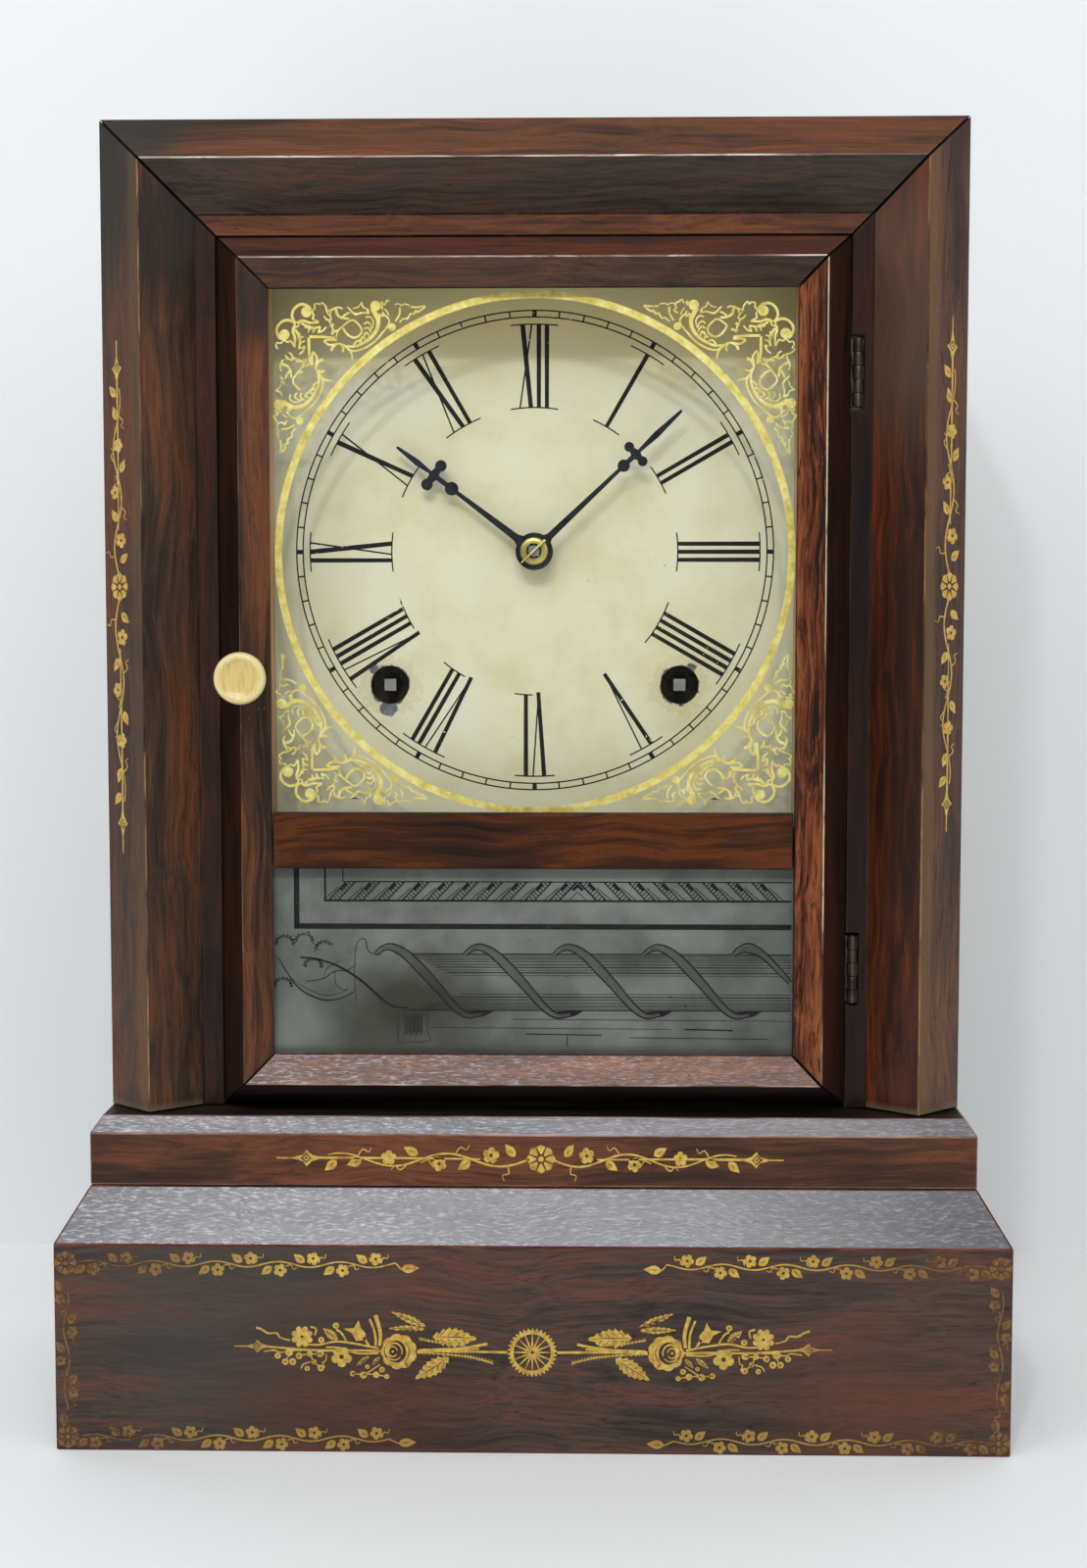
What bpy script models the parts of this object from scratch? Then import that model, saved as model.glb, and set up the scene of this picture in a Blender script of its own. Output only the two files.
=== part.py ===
# Cottage clock: a veneered case on a stepped base, a hinged door, a painted dial and a two-train movement
# Metres, +Z up, front toward -Y, origin under the middle of the base

from math import acos, atan2, cos, hypot, pi, radians, sin, tau

import bmesh
import bpy
from mathutils import Matrix, Vector

MM = 0.001

# Clearances
FIT = 0.3 * MM
RUNNING_FIT = 0.2 * MM

# Base
BASE_WIDTH = 272.4 * MM
BASE_DEPTH = 115.0 * MM
BASE_FACE_HEIGHT = 60.0 * MM
BASE_SLOPE_RISE = 14.8 * MM
BASE_SLOPE_RUN = 8.9 * MM
BASE_BOARD = 20.0 * MM
BASE_RAIL = 12.0 * MM
PLINTH_FACE_HEIGHT = 15.0 * MM
PLINTH_BEVEL_RISE = 4.65 * MM
PLINTH_BEVEL_RUN = 3.1 * MM

# Case, with the setbacks of its front moulding measured from the base's front
CASE_WIDTH = 248.3 * MM
CLOCK_HEIGHT = 380.0 * MM
CASE_BOARD = 8.0 * MM
BACK_BOARD = 8.7 * MM
FRAME_CORNER_SET = 25.5 * MM
FRAME_RIDGE_SET = 13.1 * MM
FRAME_LIP_SET = 24.4 * MM
FRAME_BACK_SET = 28.4 * MM
FRAME_RIDGE_IN = 13.25 * MM
FRAME_BEVEL_IN = 27.15 * MM
FRAME_LIP_IN = 33.25 * MM

# Door
DOOR_BOTTOM_GAP = 1.65 * MM
DOOR_RIDGE_IN = 7.8 * MM
DOOR_RIDGE_SET = 10.15 * MM
DOOR_SIGHT_IN = 15.7 * MM
DOOR_SIGHT_SET = 16.1 * MM
DOOR_LIP = 1.2 * MM
REBATE_WIDTH = 3.8 * MM
GLASS = 2.0 * MM
DIAL_SIGHT_HEIGHT = 148.45 * MM
CROSS_RAIL_HEIGHT = 16.3 * MM
CROSS_RAIL_SET = 15.5 * MM
CROSS_RAIL_WEB = 8.3 * MM

# Knob and latch
KNOB_OUT = 81.6 * MM
KNOB_DROP = 0.425 * MM
KNOB_RADIUS = 7.35 * MM
KNOB_SET = 0.6 * MM
KNOB_THICKNESS = 4.6 * MM
KNOB_NECK_RADIUS = 3.2 * MM
LATCH_SHAFT_RADIUS = 2.0 * MM
LATCH_TONGUE = 16.0 * MM
LATCH_TONGUE_WIDTH = 7.0 * MM
LATCH_THICKNESS = 2.0 * MM

# Hinges
HINGE_FROM_TOP = 38.7 * MM
HINGE_FROM_BOTTOM = 39.6 * MM
HINGE_LENGTH = 19.5 * MM
HINGE_KNUCKLES = 5
HINGE_BARREL_RADIUS = 1.4 * MM
HINGE_PIN_RADIUS = 0.55 * MM
HINGE_LEAF = 0.7 * MM
HINGE_NOTCH_WIDTH = 3.75 * MM
HINGE_END_GAP = 0.9 * MM

# Dial and hands
DIAL_SET = 41.0 * MM
DIAL_SHEET = 0.6 * MM
DIAL_WIDTH = 192.0 * MM
DIAL_OVERLAP = 7.25 * MM
DIAL_CENTRE_DROP = 73.25 * MM
DIAL_LENGTH = 160.0 * MM
CENTRE_HOLE_RADIUS = 5.2 * MM
WINDING_HOLE_RADIUS = 5.7 * MM
WINDING_OUT = 43.0 * MM
WINDING_DROP = 39.3 * MM
CLEAT_IN = 32.0 * MM
CLEAT_DEPTH = 12.0 * MM
HAND_SHEET = 0.8 * MM
HAND_TIP = 0.3 * MM
MINUTE_REACH = 59.6 * MM
MINUTE_LOBE = 42.3 * MM
MINUTE_LOBE_OUT = 2.85 * MM
MINUTE_LOBE_RADIUS = 1.45 * MM
MINUTE_DOT = 37.2 * MM
MINUTE_DOT_RADIUS = 1.8 * MM
MINUTE_STEM = 1.0 * MM
HOUR_REACH = 50.5 * MM
HOUR_LOBE = 36.9 * MM
HOUR_LOBE_OUT = 3.4 * MM
HOUR_LOBE_RADIUS = 1.7 * MM
HOUR_DOT = 30.4 * MM
HOUR_DOT_RADIUS = 2.0 * MM
HOUR_STEM = 1.1 * MM
WASHER_RADIUS = 4.1 * MM
WASHER_SHEET = 0.6 * MM
MINUTE_ANGLE = radians(46.6)
HOUR_ANGLE = radians(307.1)
HAND_SQUARE = 2.9 * MM

# Movement
MOVEMENT_STEPS = 65.3
PLATE = 1.5 * MM
PLATE_HALF_WIDTH = 62.0 * MM
PLATE_DROP = 77.5 * MM
PLATE_HEIGHT = 142.0 * MM
PILLAR_RADIUS = 2.5 * MM
PILLAR_INSET = 4.5 * MM
PIVOT_RADIUS = 0.65 * MM
ARBOR_RADIUS = 1.0 * MM
WINDING_ARBOR_RADIUS = 3.0 * MM
WINDING_SQUARE = 3.5 * MM
RAIL_WIDTH = 14.0 * MM
GREAT_RADIUS = 28.0 * MM
SECOND_RADIUS = 25.2 * MM
CENTRE_RADIUS = 24.0 * MM
THIRD_RADIUS = 20.0 * MM
ESCAPE_RADIUS = 14.0 * MM
STRIKE_THIRD_RADIUS = 18.0 * MM
PINION_LEAVES = 6
ESCAPE_RISE = 36.0 * MM
VERGE_RISE = 56.3 * MM
MOTION_DISTANCE = 12.0 * MM
SPRING_RADIUS = 21.6 * MM
SPRING_STRIP = 0.8 * MM
FLY_WIDTH = 18.0 * MM
BOB_RADIUS = 17.0 * MM
BOB_THICKNESS = 10.0 * MM
BOB_FLOOR_GAP = 19.55 * MM
GONG_OUT = 86.2 * MM
GONG_RISE = 28.0 * MM
GONG_RADIUS = 24.0 * MM
GONG_WIRE = 1.25 * MM
GONG_POST_RADIUS = 4.5 * MM
HAMMER_OUT = 12.0 * MM
HAMMER_DROP = 51.5 * MM
HAMMER_HEAD_RADIUS = 3.5 * MM

# Places that follow from the sizes above
FRONT = -BASE_DEPTH / 2
BASE_TOP = BASE_FACE_HEIGHT + BASE_SLOPE_RISE
PLINTH_LOW = BASE_TOP + FIT
FLOOR = PLINTH_LOW + PLINTH_FACE_HEIGHT + PLINTH_BEVEL_RISE
CASE_HALF = CASE_WIDTH / 2
DOOR_HALF = CASE_HALF - FRAME_LIP_IN - FIT
DOOR_TOP = CLOCK_HEIGHT - FRAME_LIP_IN - FIT
DOOR_BOTTOM = FLOOR + DOOR_BOTTOM_GAP
SIGHT_HALF = DOOR_HALF - DOOR_SIGHT_IN
REBATE_HALF = SIGHT_HALF + REBATE_WIDTH
SIGHT_TOP = DOOR_TOP - DOOR_SIGHT_IN
SIGHT_BOTTOM = DOOR_BOTTOM + DOOR_SIGHT_IN
CROSS_RAIL_LOW = SIGHT_TOP - DIAL_SIGHT_HEIGHT - CROSS_RAIL_HEIGHT
KNOB_HEIGHT = (DOOR_TOP + DOOR_BOTTOM) / 2 - KNOB_DROP
HINGE_HEIGHTS = {"upper": DOOR_TOP - HINGE_FROM_TOP, "lower": DOOR_BOTTOM + HINGE_FROM_BOTTOM}
LIP_BACK_SET = DOOR_SIGHT_SET + DOOR_LIP
GLASS_SET = LIP_BACK_SET + FIT
CASE_FRONT_SET = FRAME_BACK_SET + FIT
BACK_BOARD_SET = BASE_DEPTH - BACK_BOARD
CASE_BACK_SET = BACK_BOARD_SET - FIT
HINGE_X = CASE_HALF - FRAME_LIP_IN + 1.8 * MM
HINGE_SET = FRAME_LIP_SET - 0.4 * MM
DIAL_TOP = SIGHT_TOP + DIAL_OVERLAP
DIAL_BOTTOM = DIAL_TOP - DIAL_LENGTH
DIAL_HEIGHT = SIGHT_TOP - DIAL_CENTRE_DROP
PLATE_LOW = DIAL_HEIGHT - PLATE_DROP
PLATE_HIGH = PLATE_LOW + PLATE_HEIGHT
CENTRE = (0.0, DIAL_HEIGHT)
ESCAPE = (0.0, DIAL_HEIGHT + ESCAPE_RISE)
VERGE = (0.0, DIAL_HEIGHT + VERGE_RISE)
PENDULUM_LENGTH = VERGE[1] - FLOOR - BOB_FLOOR_GAP - BOB_RADIUS
GONG_HEIGHT = FLOOR + GONG_RISE
HAMMER_HEIGHT = DIAL_HEIGHT - HAMMER_DROP
GREAT_TEETH = 60
SECOND_TEETH = 54
CENTRE_TEETH = 60
THIRD_TEETH = 60
ESCAPE_TEETH = 42
STRIKE_THIRD_TEETH = 45
CANNON_TEETH = 12
MINUTE_WHEEL_TEETH = 36
MINUTE_PINION_TEETH = 10
HOUR_WHEEL_TEETH = 40

# The movement's depths share out the room between the dial and the back board
STEP = (BACK_BOARD_SET - DIAL_SET) / MOVEMENT_STEPS
FRONT_PLATE_SET = DIAL_SET + 9 * STEP
BACK_PLATE_SET = DIAL_SET + 45 * STEP
PENDULUM_SET = DIAL_SET + 56 * STEP
GONG_SET = DIAL_SET + 51 * STEP

ROSEWOOD = (0.085, 0.036, 0.022)
PINE = (0.46, 0.30, 0.16)
BRASS = (0.52, 0.37, 0.12)
STEEL = (0.28, 0.28, 0.27)
BLUED = (0.02, 0.025, 0.035)
IRON = (0.06, 0.055, 0.05)

bodies = {}


# Scene and objects

def clear_scene():
    for old in list(bpy.data.objects):
        bpy.data.objects.remove(old, do_unlink=True)


def body(name, x, setback, z):
    """An empty on the joint's axis that carries the pieces moving with it."""
    empty = bpy.data.objects.new("body_" + name, None)
    empty.location = (x, FRONT + setback, z)
    bpy.context.collection.objects.link(empty)
    bodies[name] = empty


def colour(piece, tint, roughness, metallic):
    material = bpy.data.materials.new(piece.name)
    material.use_nodes = True
    shader = material.node_tree.nodes["Principled BSDF"]
    shader.inputs["Base Color"].default_value = (*tint, 1.0)
    shader.inputs["Roughness"].default_value = roughness
    shader.inputs["Metallic"].default_value = metallic
    piece.data.materials.append(material)


def add(name, bm, carrier, tint, roughness=0.5, metallic=0.0, smooth=False):
    """Turns a bmesh in setback coordinates into an object with its origin on its body's axis."""
    bmesh.ops.recalc_face_normals(bm, faces=bm.faces)
    origin = bodies[carrier].location
    bmesh.ops.translate(bm, verts=bm.verts, vec=Vector((0, FRONT, 0)) - origin)
    mesh = bpy.data.meshes.new(name)
    bm.to_mesh(mesh)
    bm.free()
    if smooth:
        mesh.shade_smooth()
        mesh.set_sharp_from_angle(angle=radians(35))
    piece = bpy.data.objects.new(name, mesh)
    bpy.context.collection.objects.link(piece)
    piece.parent = bodies[carrier]
    colour(piece, tint, roughness, metallic)
    return piece


def boolean(piece, tool_bm, operation):
    """Joins or cuts a piece with a second shape, which stays as a hidden wire guide."""
    bmesh.ops.recalc_face_normals(tool_bm, faces=tool_bm.faces)
    origin = piece.parent.location
    bmesh.ops.translate(tool_bm, verts=tool_bm.verts, vec=Vector((0, FRONT, 0)) - origin)
    mesh = bpy.data.meshes.new(piece.name + "_tool")
    tool_bm.to_mesh(mesh)
    tool_bm.free()
    tool = bpy.data.objects.new(mesh.name, mesh)
    bpy.context.collection.objects.link(tool)
    tool.parent = piece.parent
    tool.hide_render = True
    tool.display_type = "WIRE"
    change = piece.modifiers.new(operation.title(), "BOOLEAN")
    change.operation = operation
    change.object = tool


# Outlines, as lists of (x, z) points

def circle(radius, count=16, centre=(0.0, 0.0), phase=0.0):
    return arc(centre, radius, phase, phase + tau * (count - 1) / count, count)


def arc(centre, radius, start, end, count):
    angles = [start + (end - start) * i / (count - 1) for i in range(count)]
    return [(centre[0] + radius * cos(a), centre[1] + radius * sin(a)) for a in angles]


def square(side, turn=0.0):
    return circle(side / 2 ** 0.5, 4, phase=turn + pi / 4)


def rectangle(x0, z0, x1, z1):
    return [(x0, z0), (x1, z0), (x1, z1), (x0, z1)]


def toothed(pitch_radius, count, phase, flank):
    """A gear's outline from one tooth's flank: (height in modules, share of the half pitch) points."""
    module = 2 * pitch_radius / count
    step = tau / count
    points = []
    for i in range(count):
        for height, share in flank:
            radius = pitch_radius + height * module
            angle = phase + step * (i + share / 2)
            points.append((radius * cos(angle), radius * sin(angle)))
    return points


def wheel(pitch_radius, count, phase=0.0):
    return toothed(pitch_radius, count, phase, ((-1.1, -0.7), (0.9, 0.0), (-1.1, 0.7)))


def pinion(pitch_radius, count, phase=0.0):
    return toothed(pitch_radius, count, phase, ((-1.3, -0.56), (0.5, -0.24), (0.5, 0.24), (-1.3, 0.56)))


def ratchet(radius, count, depth):
    """Saw teeth: a steep face at each tip and a long slope behind it."""
    points = []
    for i in range(count):
        points.append((radius * cos(tau * i / count), radius * sin(tau * i / count)))
        low = tau * (i + 0.12) / count
        points.append(((radius - depth) * cos(low), (radius - depth) * sin(low)))
    return points


def moved(points, centre):
    return [(x + centre[0], z + centre[1]) for x, z in points]


def direction(start, end):
    return atan2(end[1] - start[1], end[0] - start[0])


def meeting(first, first_radius, second, second_radius, side):
    """The point at the two given distances from two centres, on the left or right of the line between."""
    span = hypot(second[0] - first[0], second[1] - first[1])
    spread = acos((first_radius ** 2 + span ** 2 - second_radius ** 2) / (2 * first_radius * span))
    angle = direction(first, second) + side * spread
    return (first[0] + first_radius * cos(angle), first[1] + first_radius * sin(angle))


# Solids

def ring(bm, points, depth):
    corners = [bm.verts.new((x, depth, z)) for x, z in points]
    edges = [bm.edges.new((corners[i - 1], corners[i])) for i in range(len(corners))]
    return corners, edges


def wall(bm, near, far):
    for i in range(len(near)):
        bm.faces.new((near[i - 1], near[i], far[i], far[i - 1]))


def fill(bm, edges):
    bmesh.ops.triangle_fill(bm, edges=edges, use_beauty=True)


def stack(sections, bore=None, centre=(0.0, 0.0)):
    """Prisms along Y, each (front, back, outline), whose outlines nest where they meet, with one bore."""
    bm = bmesh.new()
    holes = [ring(bm, moved(bore, centre), depth) for depth in (sections[0][0], sections[-1][1])] if bore else []
    if bore:
        wall(bm, holes[0][0], holes[1][0])
    open_edges = holes[0][1] if bore else []
    for front, back, outline in sections:
        near, near_edges = ring(bm, moved(outline, centre), front)
        far, far_edges = ring(bm, moved(outline, centre), back)
        wall(bm, near, far)
        fill(bm, open_edges + near_edges)
        open_edges = far_edges
    fill(bm, open_edges + (holes[1][1] if bore else []))
    return bm


def sheet(front, back, outline, holes=()):
    """A flat plate along Y with any number of holes."""
    bm = bmesh.new()
    caps = [[], []]
    for points in [outline, *holes]:
        near, near_edges = ring(bm, points, front)
        far, far_edges = ring(bm, points, back)
        wall(bm, near, far)
        caps[0] += near_edges
        caps[1] += far_edges
    fill(bm, caps[0])
    fill(bm, caps[1])
    return bm


def loft(*rings):
    """A body through rings of (x, setback, z) corners, capped at both ends."""
    bm = bmesh.new()
    made = [[bm.verts.new(corner) for corner in corners] for corners in rings]
    for near, far in zip(made, made[1:]):
        wall(bm, near, far)
    bm.faces.new(made[0])
    bm.faces.new(made[-1])
    return bm


def board(x0, x1, front, back, z0, z1):
    low = [(x0, front, z0), (x1, front, z0), (x1, back, z0), (x0, back, z0)]
    return loft(low, [(x, y, z1) for x, y, _ in low])


def turned(profile, centre, count=24):
    """A turned piece about Y through (depth, radius) steps."""
    return loft(*[[(x, depth, z) for x, z in circle(radius, count, centre)] for depth, radius in profile])


def rod(start, end, radius, count=10):
    """A round bar between two points."""
    line = Vector(end) - Vector(start)
    turn = line.to_track_quat("Z", "Y")
    ends = []
    for foot in (Vector(start), Vector(end)):
        ends.append([foot + turn @ Vector((x, y, 0)) for x, y in circle(radius, count)])
    return loft(*ends)


def joined(*parts):
    """Several touching shapes in one bmesh, for a Boolean tool."""
    whole = bmesh.new()
    for part in parts:
        mesh = bpy.data.meshes.new("part")
        part.to_mesh(mesh)
        part.free()
        whole.from_mesh(mesh)
        bpy.data.meshes.remove(mesh)
    return whole


# Base

def make_base():
    half = BASE_WIDTH / 2
    mitre = FIT / 2
    section = [(0, 0), (0, BASE_FACE_HEIGHT), (BASE_SLOPE_RUN, BASE_TOP), (BASE_BOARD, BASE_TOP), (BASE_BOARD, 0)]
    front = loft([(-(half - d - mitre), d, z) for d, z in section], [(half - d - mitre, d, z) for d, z in section])
    add("base_front_board", front, "case", ROSEWOOD, 0.32)
    for side, name in ((-1, "left"), (1, "right")):
        flank = loft([(side * (half - d), d + mitre, z) for d, z in section],
                     [(side * (half - d), BASE_DEPTH, z) for d, z in section])
        add("base_side_" + name, flank, "case", ROSEWOOD, 0.32)
    inner = half - BASE_BOARD - FIT
    add("base_back_rail", board(-inner, inner, BASE_DEPTH - BASE_RAIL, BASE_DEPTH, 0, BASE_TOP), "case", PINE, 0.7)
    low = half - BASE_SLOPE_RUN
    high = low - PLINTH_BEVEL_RUN
    brim = BASE_SLOPE_RUN + PLINTH_BEVEL_RUN
    levels = ((low, BASE_SLOPE_RUN, PLINTH_LOW), (low, BASE_SLOPE_RUN, PLINTH_LOW + PLINTH_FACE_HEIGHT),
              (high, brim, FLOOR))
    plinth = loft(*[[(-x, y, z), (x, y, z), (x, BASE_DEPTH, z), (-x, BASE_DEPTH, z)] for x, y, z in levels])
    add("plinth_board", plinth, "case", ROSEWOOD, 0.32)


# Case

def make_case():
    side_top = CLOCK_HEIGHT - CASE_BOARD - FIT
    inner = CASE_HALF - CASE_BOARD
    low = FLOOR + FIT
    add("case_side_left", board(-CASE_HALF, -inner, CASE_FRONT_SET, CASE_BACK_SET, low, side_top),
        "case", ROSEWOOD, 0.35)
    add("case_side_right", board(inner, CASE_HALF, CASE_FRONT_SET, CASE_BACK_SET, low, side_top),
        "case", ROSEWOOD, 0.35)
    add("case_top_board", board(-CASE_HALF, CASE_HALF, CASE_FRONT_SET, CASE_BACK_SET, side_top + FIT, CLOCK_HEIGHT),
        "case", ROSEWOOD, 0.35)
    add("back_board", board(-CASE_HALF, CASE_HALF, BACK_BOARD_SET, BASE_DEPTH, low, CLOCK_HEIGHT),
        "case", PINE, 0.75)


def make_frame():
    """The moulding round the door: it rises to a ridge, falls back to a narrow lip, and is mitred on top."""
    mitre = FIT / 2
    section = [(0, FRAME_CORNER_SET), (FRAME_RIDGE_IN, FRAME_RIDGE_SET), (FRAME_BEVEL_IN, FRAME_LIP_SET),
               (FRAME_LIP_IN, FRAME_LIP_SET), (FRAME_LIP_IN, FRAME_BACK_SET), (0, FRAME_BACK_SET)]
    low = FLOOR + FIT
    stiles = {}
    for side, name in ((-1, "left"), (1, "right")):
        bar = loft([(side * (CASE_HALF - d), y, low) for d, y in section],
                   [(side * (CASE_HALF - d), y, CLOCK_HEIGHT - d - mitre) for d, y in section])
        stiles[name] = add("frame_stile_" + name, bar, "case", ROSEWOOD, 0.3)
    top = loft([(-(CASE_HALF - d - mitre), y, CLOCK_HEIGHT - d) for d, y in section],
               [(CASE_HALF - d - mitre, y, CLOCK_HEIGHT - d) for d, y in section])
    add("frame_top_rail", top, "case", ROSEWOOD, 0.3)
    edge = CASE_HALF - FRAME_LIP_IN
    reach = HINGE_LENGTH / 2 + HINGE_END_GAP
    notches = [board(edge - 1 * MM, edge + HINGE_NOTCH_WIDTH, FRAME_RIDGE_SET, FRAME_BACK_SET + 1 * MM,
                     z - reach, z + reach) for z in HINGE_HEIGHTS.values()]
    boolean(stiles["right"], joined(*notches), "DIFFERENCE")


# Door

def make_door():
    mitre = FIT / 2
    rebate_in = DOOR_SIGHT_IN - REBATE_WIDTH
    section = [(0, FRAME_LIP_SET), (DOOR_RIDGE_IN, DOOR_RIDGE_SET), (DOOR_SIGHT_IN, DOOR_SIGHT_SET),
               (DOOR_SIGHT_IN, LIP_BACK_SET), (rebate_in, LIP_BACK_SET), (rebate_in, FRAME_BACK_SET),
               (0, FRAME_BACK_SET)]
    stiles = {}
    for side, name in ((-1, "left"), (1, "right")):
        bar = loft([(side * (DOOR_HALF - d), y, DOOR_BOTTOM + d + mitre) for d, y in section],
                   [(side * (DOOR_HALF - d), y, DOOR_TOP - d - mitre) for d, y in section])
        stiles[name] = add("door_stile_" + name, bar, "door", ROSEWOOD, 0.28)
    for edge, way, name in ((DOOR_TOP, -1, "top"), (DOOR_BOTTOM, 1, "bottom")):
        bar = loft([(-(DOOR_HALF - d - mitre), y, edge + way * d) for d, y in section],
                   [(DOOR_HALF - d - mitre, y, edge + way * d) for d, y in section])
        add("door_" + name + "_rail", bar, "door", ROSEWOOD, 0.28)
    hole_radius = LATCH_SHAFT_RADIUS + FIT
    hole = turned([(0, hole_radius), (FRAME_BACK_SET + CASE_BOARD, hole_radius)], (-KNOB_OUT, KNOB_HEIGHT), 12)
    boolean(stiles["left"], hole, "DIFFERENCE")
    make_cross_rail()
    make_glazing()


def make_cross_rail():
    """A bar between the two glasses, with a lip in front that holds their edges."""
    high = CROSS_RAIL_LOW + CROSS_RAIL_HEIGHT
    web_low = CROSS_RAIL_LOW + (CROSS_RAIL_HEIGHT - CROSS_RAIL_WEB) / 2
    web_high = web_low + CROSS_RAIL_WEB
    section = [(CROSS_RAIL_SET, CROSS_RAIL_LOW), (CROSS_RAIL_SET, high), (LIP_BACK_SET, high),
               (LIP_BACK_SET, web_high), (FRAME_BACK_SET, web_high), (FRAME_BACK_SET, web_low),
               (LIP_BACK_SET, web_low), (LIP_BACK_SET, CROSS_RAIL_LOW)]
    half = SIGHT_HALF - FIT
    bar = loft([(-half, y, z) for y, z in section], [(half, y, z) for y, z in section])
    add("door_cross_rail", bar, "door", ROSEWOOD, 0.28)


def make_glazing():
    half = REBATE_HALF - FIT
    web_low = CROSS_RAIL_LOW + (CROSS_RAIL_HEIGHT - CROSS_RAIL_WEB) / 2
    web_high = web_low + CROSS_RAIL_WEB
    low = SIGHT_BOTTOM - REBATE_WIDTH + FIT
    high = SIGHT_TOP + REBATE_WIDTH - FIT
    back = GLASS_SET + GLASS
    add("dial_glass", board(-half, half, GLASS_SET, back, web_high + FIT, high), "door", (0.7, 0.75, 0.72), 0.05)
    add("tablet_glass", board(-half, half, GLASS_SET, back, low, web_low - FIT), "door", (0.22, 0.26, 0.25), 0.15)
    for side, name in ((-1, "left"), (1, "right")):
        edges = sorted((side * half, side * (SIGHT_HALF + FIT)))
        strip = board(*edges, back + FIT, FRAME_BACK_SET, low, high)
        add("glazing_strip_" + name, strip, "door", PINE, 0.6)


def make_knob():
    neck_end = DOOR_RIDGE_SET - FIT
    profile = [(0.5, 0.62), (0, 0.74), (0.1, 0.9), (0.8, 1.0), (2.4, 1.0), (3.8, 0.86)]
    steps = [(KNOB_SET + depth * MM, share * KNOB_RADIUS) for depth, share in profile]
    steps.append((KNOB_SET + KNOB_THICKNESS, KNOB_NECK_RADIUS))
    steps.append((neck_end, KNOB_NECK_RADIUS))
    place = (-KNOB_OUT, KNOB_HEIGHT)
    add("door_knob", turned(steps, place, 24), "knob", (0.83, 0.63, 0.27), 0.3, smooth=True)
    tongue_front = FRAME_BACK_SET + FIT
    tongue_back = tongue_front + LATCH_THICKNESS
    half = LATCH_TONGUE_WIDTH / 2
    tongue = arc((0, 0), half, 0, pi, 9) + [(-half, -LATCH_TONGUE), (half, -LATCH_TONGUE)]
    shaft = circle(LATCH_SHAFT_RADIUS, 12)
    latch = stack([(neck_end + FIT, tongue_front, shaft), (tongue_front, tongue_back, tongue),
                   (tongue_back, tongue_back + MM, shaft)], centre=place)
    add("latch", latch, "knob", BRASS, 0.4, 1.0)


# Hinges

def knuckle_spans(height):
    """The Z span of each knuckle, with a running gap between neighbours."""
    pitch = HINGE_LENGTH / HINGE_KNUCKLES
    low = height - HINGE_LENGTH / 2
    return [(low + pitch * i + FIT / 2, low + pitch * (i + 1) - FIT / 2) for i in range(HINGE_KNUCKLES)]


def barrel(z0, z1, radius):
    points = circle(radius, 10, (HINGE_X, HINGE_SET))
    return loft([(x, y, z0) for x, y in points], [(x, y, z1) for x, y in points])


def make_hinges():
    notch_wall = CASE_HALF - FRAME_LIP_IN + HINGE_NOTCH_WIDTH
    leaf_front = HINGE_SET + HINGE_BARREL_RADIUS + 0.4 * MM
    leaf_back = FRAME_BACK_SET - FIT
    tab = HINGE_BARREL_RADIUS * 0.7
    for name, height in HINGE_HEIGHTS.items():
        spans = knuckle_spans(height)
        low, high = spans[0][0], spans[-1][1]
        outer = notch_wall - FIT
        case_leaf = add("hinge_case_leaf_" + name, board(outer - HINGE_LEAF, outer, leaf_front, leaf_back, low, high),
                        "case", IRON, 0.5, 0.8)
        for z0, z1 in spans[::2]:
            boolean(case_leaf, board(HINGE_X + tab, outer - 0.1 * MM, HINGE_SET, leaf_front + MM, z0, z1), "UNION")
            boolean(case_leaf, barrel(z0 - 0.02 * MM, z1 + 0.02 * MM, HINGE_BARREL_RADIUS), "UNION")
        boolean(case_leaf, barrel(low - 0.3 * MM, high + 0.3 * MM, HINGE_PIN_RADIUS), "UNION")
        inner = DOOR_HALF + FIT
        door_leaf = add("hinge_door_leaf_" + name, board(inner, inner + HINGE_LEAF, leaf_front, leaf_back, low, high),
                        "door", IRON, 0.5, 0.8)
        for z0, z1 in spans[1::2]:
            boolean(door_leaf, board(inner + 0.1 * MM, HINGE_X - tab, HINGE_SET, leaf_front + MM, z0, z1), "UNION")
            boolean(door_leaf, barrel(z0 - 0.02 * MM, z1 + 0.02 * MM, HINGE_BARREL_RADIUS), "UNION")
        boolean(door_leaf, barrel(low - MM, high + MM, HINGE_PIN_RADIUS + RUNNING_FIT), "DIFFERENCE")


# Dial

def make_dial():
    back = DIAL_SET + DIAL_SHEET
    holes = [circle(CENTRE_HOLE_RADIUS, 20, CENTRE)]
    for side in (-1, 1):
        holes.append(circle(WINDING_HOLE_RADIUS, 20, (side * WINDING_OUT, DIAL_HEIGHT - WINDING_DROP)))
    outline = rectangle(-DIAL_WIDTH / 2, DIAL_BOTTOM, DIAL_WIDTH / 2, DIAL_TOP)
    add("dial_plate", sheet(DIAL_SET, back, outline, holes), "case", (0.68, 0.66, 0.46), 0.45)
    wall_x = CASE_HALF - CASE_BOARD - FIT
    for side, name in ((-1, "left"), (1, "right")):
        edges = sorted((side * wall_x, side * (wall_x - CLEAT_IN)))
        cleat = board(*edges, back + FIT, back + FIT + CLEAT_DEPTH, DIAL_BOTTOM + 4 * MM, DIAL_TOP - 2 * MM)
        add("dial_cleat_" + name, cleat, "case", PINE, 0.7)


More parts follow.
